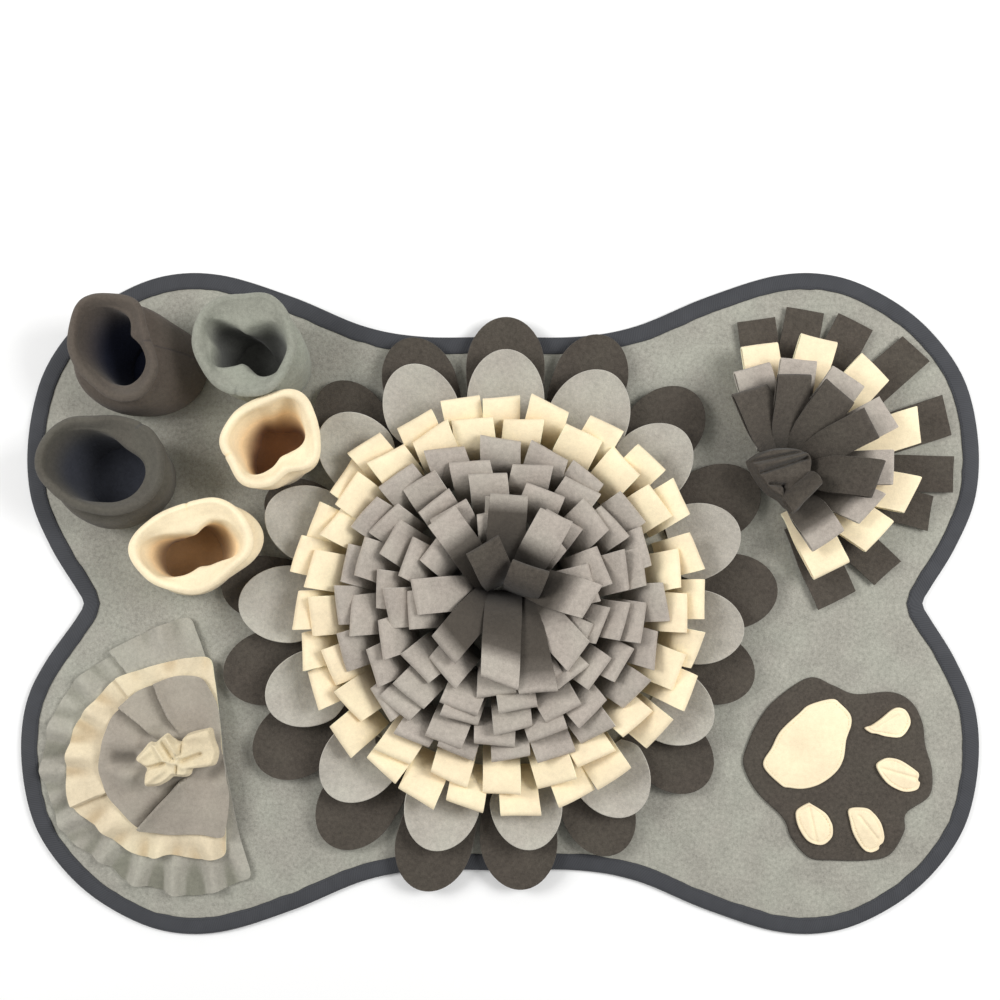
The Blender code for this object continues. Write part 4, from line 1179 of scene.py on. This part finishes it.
def make_gather(piece):
    """A strip of fleece pinched in its middle, so that it stands in folds."""
    outline = cut_outline(piece.outline, GATHER_AROUND)
    under = [(0.0, 0), (0.6, 0), (0.985, 0), (1.0, GATHER_EDGE)]
    face = [(1 - (k / GATHER_ROWS) ** 1.4, 2 * GATHER_EDGE) for k in range(1, GATHER_ROWS + 1)]
    rows = under + face
    middle = Vector((*piece.centre, piece.low))

    def place(i, j):
        share, level = rows[j]
        edge = outline[i % GATHER_AROUND]
        flat = edge * share
        spot = middle + Vector((flat.x, flat.y, level))
        if j >= len(under):
            folds = sum(high * math.exp(-(away_from(flat * 1000, a, b) / wide) ** 2)
                        for a, b, high, wide in piece.folds)
            inside = edge.length * (1 - share)
            spot.z += (piece.high + folds / 1000) * smooth_step(inside / 0.0045) + 0.0014
            spot.z += 0.0005 * wobble(spot, 90)
        return spot

    bm = bmesh.new()
    lay_grid(bm, GATHER_AROUND, len(rows) - 1, place, weld=True)
    made = finish_piece(piece.name, bm, piece.node, [fabric(piece.finish)], closed=True)
    area_of(outline) * piece.fullness


# ---- The fan --------------------------------------------------------------------------
def make_fan_layer(layer):
    """One layer of the fan: flat tabs, or folded strips."""
    chance = random.Random(layer.name)
    origin = Vector((*FAN_ROOT, 0))
    bm, dye_and_shade_layer = start_dye_and_shade()
    total = Vector((0, 0))
    for left, right in layer.ends:
        root = (Vector(left) + Vector(right)).normalized() * layer.root_r
        uneven = chance.uniform(-2, 2)
        high = layer.high + (uneven if layer.fold else 0)
        strip = Strip((root.x, root.y), left, right, high, layer.foot, layer.dye)
        total += lay_placed_strip(bm, dye_and_shade_layer, strip, FAN_STANDING, layer.fold / 1000, chance,
                                  origin, layer.tilt)
    finish_strips(layer.name + "_cloth", bm, layer.name, layer.colour, total, len(layer.ends))


# ---- The paw --------------------------------------------------------------------------
PATCH_AROUND = 160
PAD_AROUND = 128
PAD_ROWS = 30
PAD_THICK = 0.0026
PAD_SEWN_IN = 0.0034      # how far inside a pad's edge its seam runs
SEAM_DEEP = 0.0007
SEAM_WIDE = 0.0009
CREASE_SWELL = 0.0014     # how high a pad swells beside its crease,
CREASE_REACH = 14         # how far that goes, in millimetres,
CREASE_WIDE = 1.8         # and how wide the crease is


def make_flat_piece(name, node, outline, middle, low, high, relief=None):
    """A cut-out lying flat: it swells a little inside its edge. relief(spot, inside) is added
    on its face."""
    centre = Vector((*middle, 0))
    under = [(0.0, low), (0.5, low), (0.97, low), (1.0, low + 0.0004), (1.0, high - 0.0010)]
    face = [(0.985, high - 0.0002)] + [(0.97 * (1 - k / PAD_ROWS), high) for k in range(PAD_ROWS + 1)]
    rows = under + face

    def place(i, j):
        share, level = rows[j]
        edge = outline[i % len(outline)]
        spot = centre + Vector((edge.x, edge.y, 0)) * share
        spot.z = level
        if j >= len(under):
            spot.z += 0.0005 * wobble(spot, 45) * (1 - share)
            if relief:
                spot.z += relief(edge * share, edge.length * (1 - share))
        return spot

    bm = bmesh.new()
    lay_grid(bm, len(outline), len(rows) - 1, place, weld=True)
    made = finish_piece(name, bm, node, [fabric(frame_slot(node))], closed=True)
    area_of(outline)


def make_patch():
    """The dark paw-shaped patch."""
    outline = smooth_closed(PATCH_OUTLINE, PATCH_AROUND)
    make_flat_piece("paw_cloth", "paw_patch", outline, PAW_CENTRE, FLOOR_OF_TRIM,
                    FLOOR_OF_TRIM + PATCH_THICK)


def make_pad(pad):
    """A cream pad with a stitch line just inside its edge and a soft crease."""
    outline = cut_outline(pad.outline, PAD_AROUND)
    middle = (PAW_CENTRE[0] + pad.middle[0], PAW_CENTRE[1] + pad.middle[1])
    high = PAD_LOW + PAD_THICK

    def relief(spot, inside):
        sewn = -SEAM_DEEP * math.exp(-((inside - PAD_SEWN_IN) / SEAM_WIDE) ** 2)
        if not pad.crease:
            return sewn
        start, end, depth = pad.crease
        away = away_from(spot * 1000, start, end)
        swell = CREASE_SWELL * (1 - smooth_step(away / CREASE_REACH))
        return sewn + swell - depth * math.exp(-(away / CREASE_WIDE) ** 2)

    make_flat_piece(pad.name + "_cloth", pad.name, outline, middle, PAD_LOW, high, relief)
    line = [Vector((*middle, high - 0.0004)) + (edge * (1 - PAD_SEWN_IN / edge.length)).to_3d()
            for edge in outline]
    sew_round(pad.name + "_stitches", pad.name, line)


# ---- Stage ----------------------------------------------------------------------------
FLOOR_REACH = 6
FLOOR_LOW = 0.0005        # the floor lies just under the mat
SKY_STRENGTH = 0.45
CAMERA_HIGH = 1.25
CAMERA_LENS = 43.1        # in millimetres, for a sensor of 36 mm
CAMERA_SHIFT = 0.1035     # the mat lies low in the photo
Light = namedtuple("Light", "name place power size")
LIGHTS = (
    Light("left light", (-1.6, 0.5, 1.45), 25, 0.9),
    Light("right light", (1.5, 0.35, 1.5), 29, 0.9),
)


def make_stage():
    """The pale floor, the soft light and the camera, which looks straight down."""
    scene = bpy.context.scene
    paint, _, shader = start_material("floor")
    shader.inputs["Base Color"].default_value = (0.93, 0.93, 0.925, 1)
    shader.inputs["Roughness"].default_value = 0.9
    bm = bmesh.new()
    bmesh.ops.create_grid(bm, x_segments=1, y_segments=1, size=FLOOR_REACH)
    bmesh.ops.translate(bm, vec=(0, 0, -FLOOR_LOW), verts=bm.verts)
    add_mesh("floor", bm, [paint])

    world = bpy.data.worlds.new("studio")
    world.use_nodes = True
    sky = world.node_tree.nodes["Background"]
    sky.inputs["Color"].default_value = (1.0, 1.0, 1.0, 1)
    sky.inputs["Strength"].default_value = SKY_STRENGTH
    scene.world = world
    scene.view_settings.view_transform = "Standard"

    for light in LIGHTS:
        lamp = bpy.data.lights.new(light.name, "AREA")
        lamp.energy = light.power
        lamp.size = light.size
        made = bpy.data.objects.new(light.name, lamp)
        made.location = light.place
        made.rotation_euler = (-Vector(light.place)).to_track_quat("-Z", "Y").to_euler()
        scene.collection.objects.link(made)

    lens = bpy.data.cameras.new("camera")
    lens.lens = CAMERA_LENS
    lens.sensor_width = 36
    lens.shift_y = CAMERA_SHIFT
    camera = bpy.data.objects.new("camera", lens)
    camera.location = (0, 0, CAMERA_HIGH)
    scene.collection.objects.link(camera)
    scene.camera = camera


# ---- Operators ------------------------------------------------------------------------
class SNUFFLE_OT_stage(Operator):
    """Lay the floor, hang the lights and place the camera"""
    bl_idname = "snuffle.stage"
    bl_label = "Stage"

    def execute(self, context):
        make_stage()
        return {"FINISHED"}


class SNUFFLE_OT_mat(Operator):
    """Make the bone-shaped base"""
    bl_idname = "snuffle.mat"
    bl_label = "Base mat"

    def execute(self, context):
        make_mat()
        return {"FINISHED"}


class SNUFFLE_OT_tape(Operator):
    """Fold the tape round the rim and sew it down"""
    bl_idname = "snuffle.tape"
    bl_label = "Edge tape"

    def execute(self, context):
        make_tape()
        return {"FINISHED"}


class SNUFFLE_OT_petals(Operator):
    """Make the dark petals and the grey ones over them"""
    bl_idname = "snuffle.petals"
    bl_label = "Petals"

    def execute(self, context):
        make_petals("petals_dark", DARK_PETALS, FLOOR_OF_TRIM, DARK_PINCH)
        make_petals("petals_grey", GREY_PETALS, FLOOR_OF_TRIM + GREY_PETALS_UP, GREY_PINCH)
        return {"FINISHED"}


class SNUFFLE_OT_flower(Operator):
    """Make the rings of cream and grey folded strips"""
    bl_idname = "snuffle.flower"
    bl_label = "Flower strips"

    def execute(self, context):
        for ring in LOOP_RINGS:
            make_loop_ring(ring)
        return {"FINISHED"}


class SNUFFLE_OT_centre(Operator):
    """Make the long strips round the middle, dark at the root, and the two dark ones on top"""
    bl_idname = "snuffle.centre"
    bl_label = "Middle strips"

    def execute(self, context):
        make_placed_strips("long_strips_cloth", "loops_dark", "grey", LONG_STRIPS, STANDING,
                           LONG_FOLD)
        make_placed_strips("top_strips_cloth", "centre_strips", "dark", TOP_STRIPS, TOP_STANDING,
                           TOP_FOLD)
        return {"FINISHED"}


class SNUFFLE_OT_tubes(Operator):
    """Make the five standing tubes"""
    bl_idname = "snuffle.tubes"
    bl_label = "Tubes"

    def execute(self, context):
        for tube in TUBES:
            make_tube(tube)
        return {"FINISHED"}


class SNUFFLE_OT_ruffle(Operator):
    """Make the three gathered layers"""
    bl_idname = "snuffle.ruffle"
    bl_label = "Ruffle"

    def execute(self, context):
        for layer in RUFFLE_LAYERS:
            make_ruffle(layer)
        return {"FINISHED"}


class SNUFFLE_OT_fan(Operator):
    """Make the fan of tabs and strips"""
    bl_idname = "snuffle.fan"
    bl_label = "Fan"

    def execute(self, context):
        for layer in FAN_LAYERS:
            make_fan_layer(layer)
        return {"FINISHED"}


class SNUFFLE_OT_gathers(Operator):
    """Make the bow on the ruffle and the gathered root of the fan"""
    bl_idname = "snuffle.gathers"
    bl_label = "Bow and fan root"

    def execute(self, context):
        for piece in GATHERS:
            make_gather(piece)
        return {"FINISHED"}


class SNUFFLE_OT_patch(Operator):
    """Make the paw-shaped patch"""
    bl_idname = "snuffle.patch"
    bl_label = "Paw patch"

    def execute(self, context):
        make_patch()
        return {"FINISHED"}


class SNUFFLE_OT_pads(Operator):
    """Make the cream pads on the patch"""
    bl_idname = "snuffle.pads"
    bl_label = "Pads"

    def execute(self, context):
        for pad in PADS:
            make_pad(pad)
        return {"FINISHED"}


# In the order in which the pieces are made.
OPERATORS = (
    SNUFFLE_OT_stage, SNUFFLE_OT_mat, SNUFFLE_OT_tape, SNUFFLE_OT_petals, SNUFFLE_OT_flower,
    SNUFFLE_OT_centre, SNUFFLE_OT_tubes, SNUFFLE_OT_ruffle, SNUFFLE_OT_fan, SNUFFLE_OT_gathers,
    SNUFFLE_OT_patch, SNUFFLE_OT_pads,
)


class SNUFFLE_PT_panel(Panel):
    """Sizes, colours and the pieces to make"""
    bl_label = "Snuffle mat"
    bl_space_type = "VIEW_3D"
    bl_region_type = "UI"
    bl_category = "Snuffle mat"

    def draw(self, context):
        for group in (context.scene.snuffle_sizes, context.scene.snuffle_colours):
            box = self.layout.box()
            for name in group.__annotations__:
                box.prop(group, name)
        for made in OPERATORS:
            self.layout.operator(made.bl_idname)


CLASSES = (SnuffleSizes, SnuffleColours, *OPERATORS, SNUFFLE_PT_panel)


def register():
    """Add the properties, the operators and the panel to Blender."""
    for made in CLASSES:
        bpy.utils.register_class(made)
    bpy.types.Scene.snuffle_sizes = PointerProperty(type=SnuffleSizes)
    bpy.types.Scene.snuffle_colours = PointerProperty(type=SnuffleColours)


def unregister():
    """Take them out again."""
    del bpy.types.Scene.snuffle_colours
    del bpy.types.Scene.snuffle_sizes
    for made in reversed(CLASSES):
        bpy.utils.unregister_class(made)


def main():
    """Make every piece."""
    register()
    for made in OPERATORS:
        getattr(bpy.ops.snuffle, made.bl_idname.removeprefix("snuffle."))()


if __name__ == "__main__":
    main()
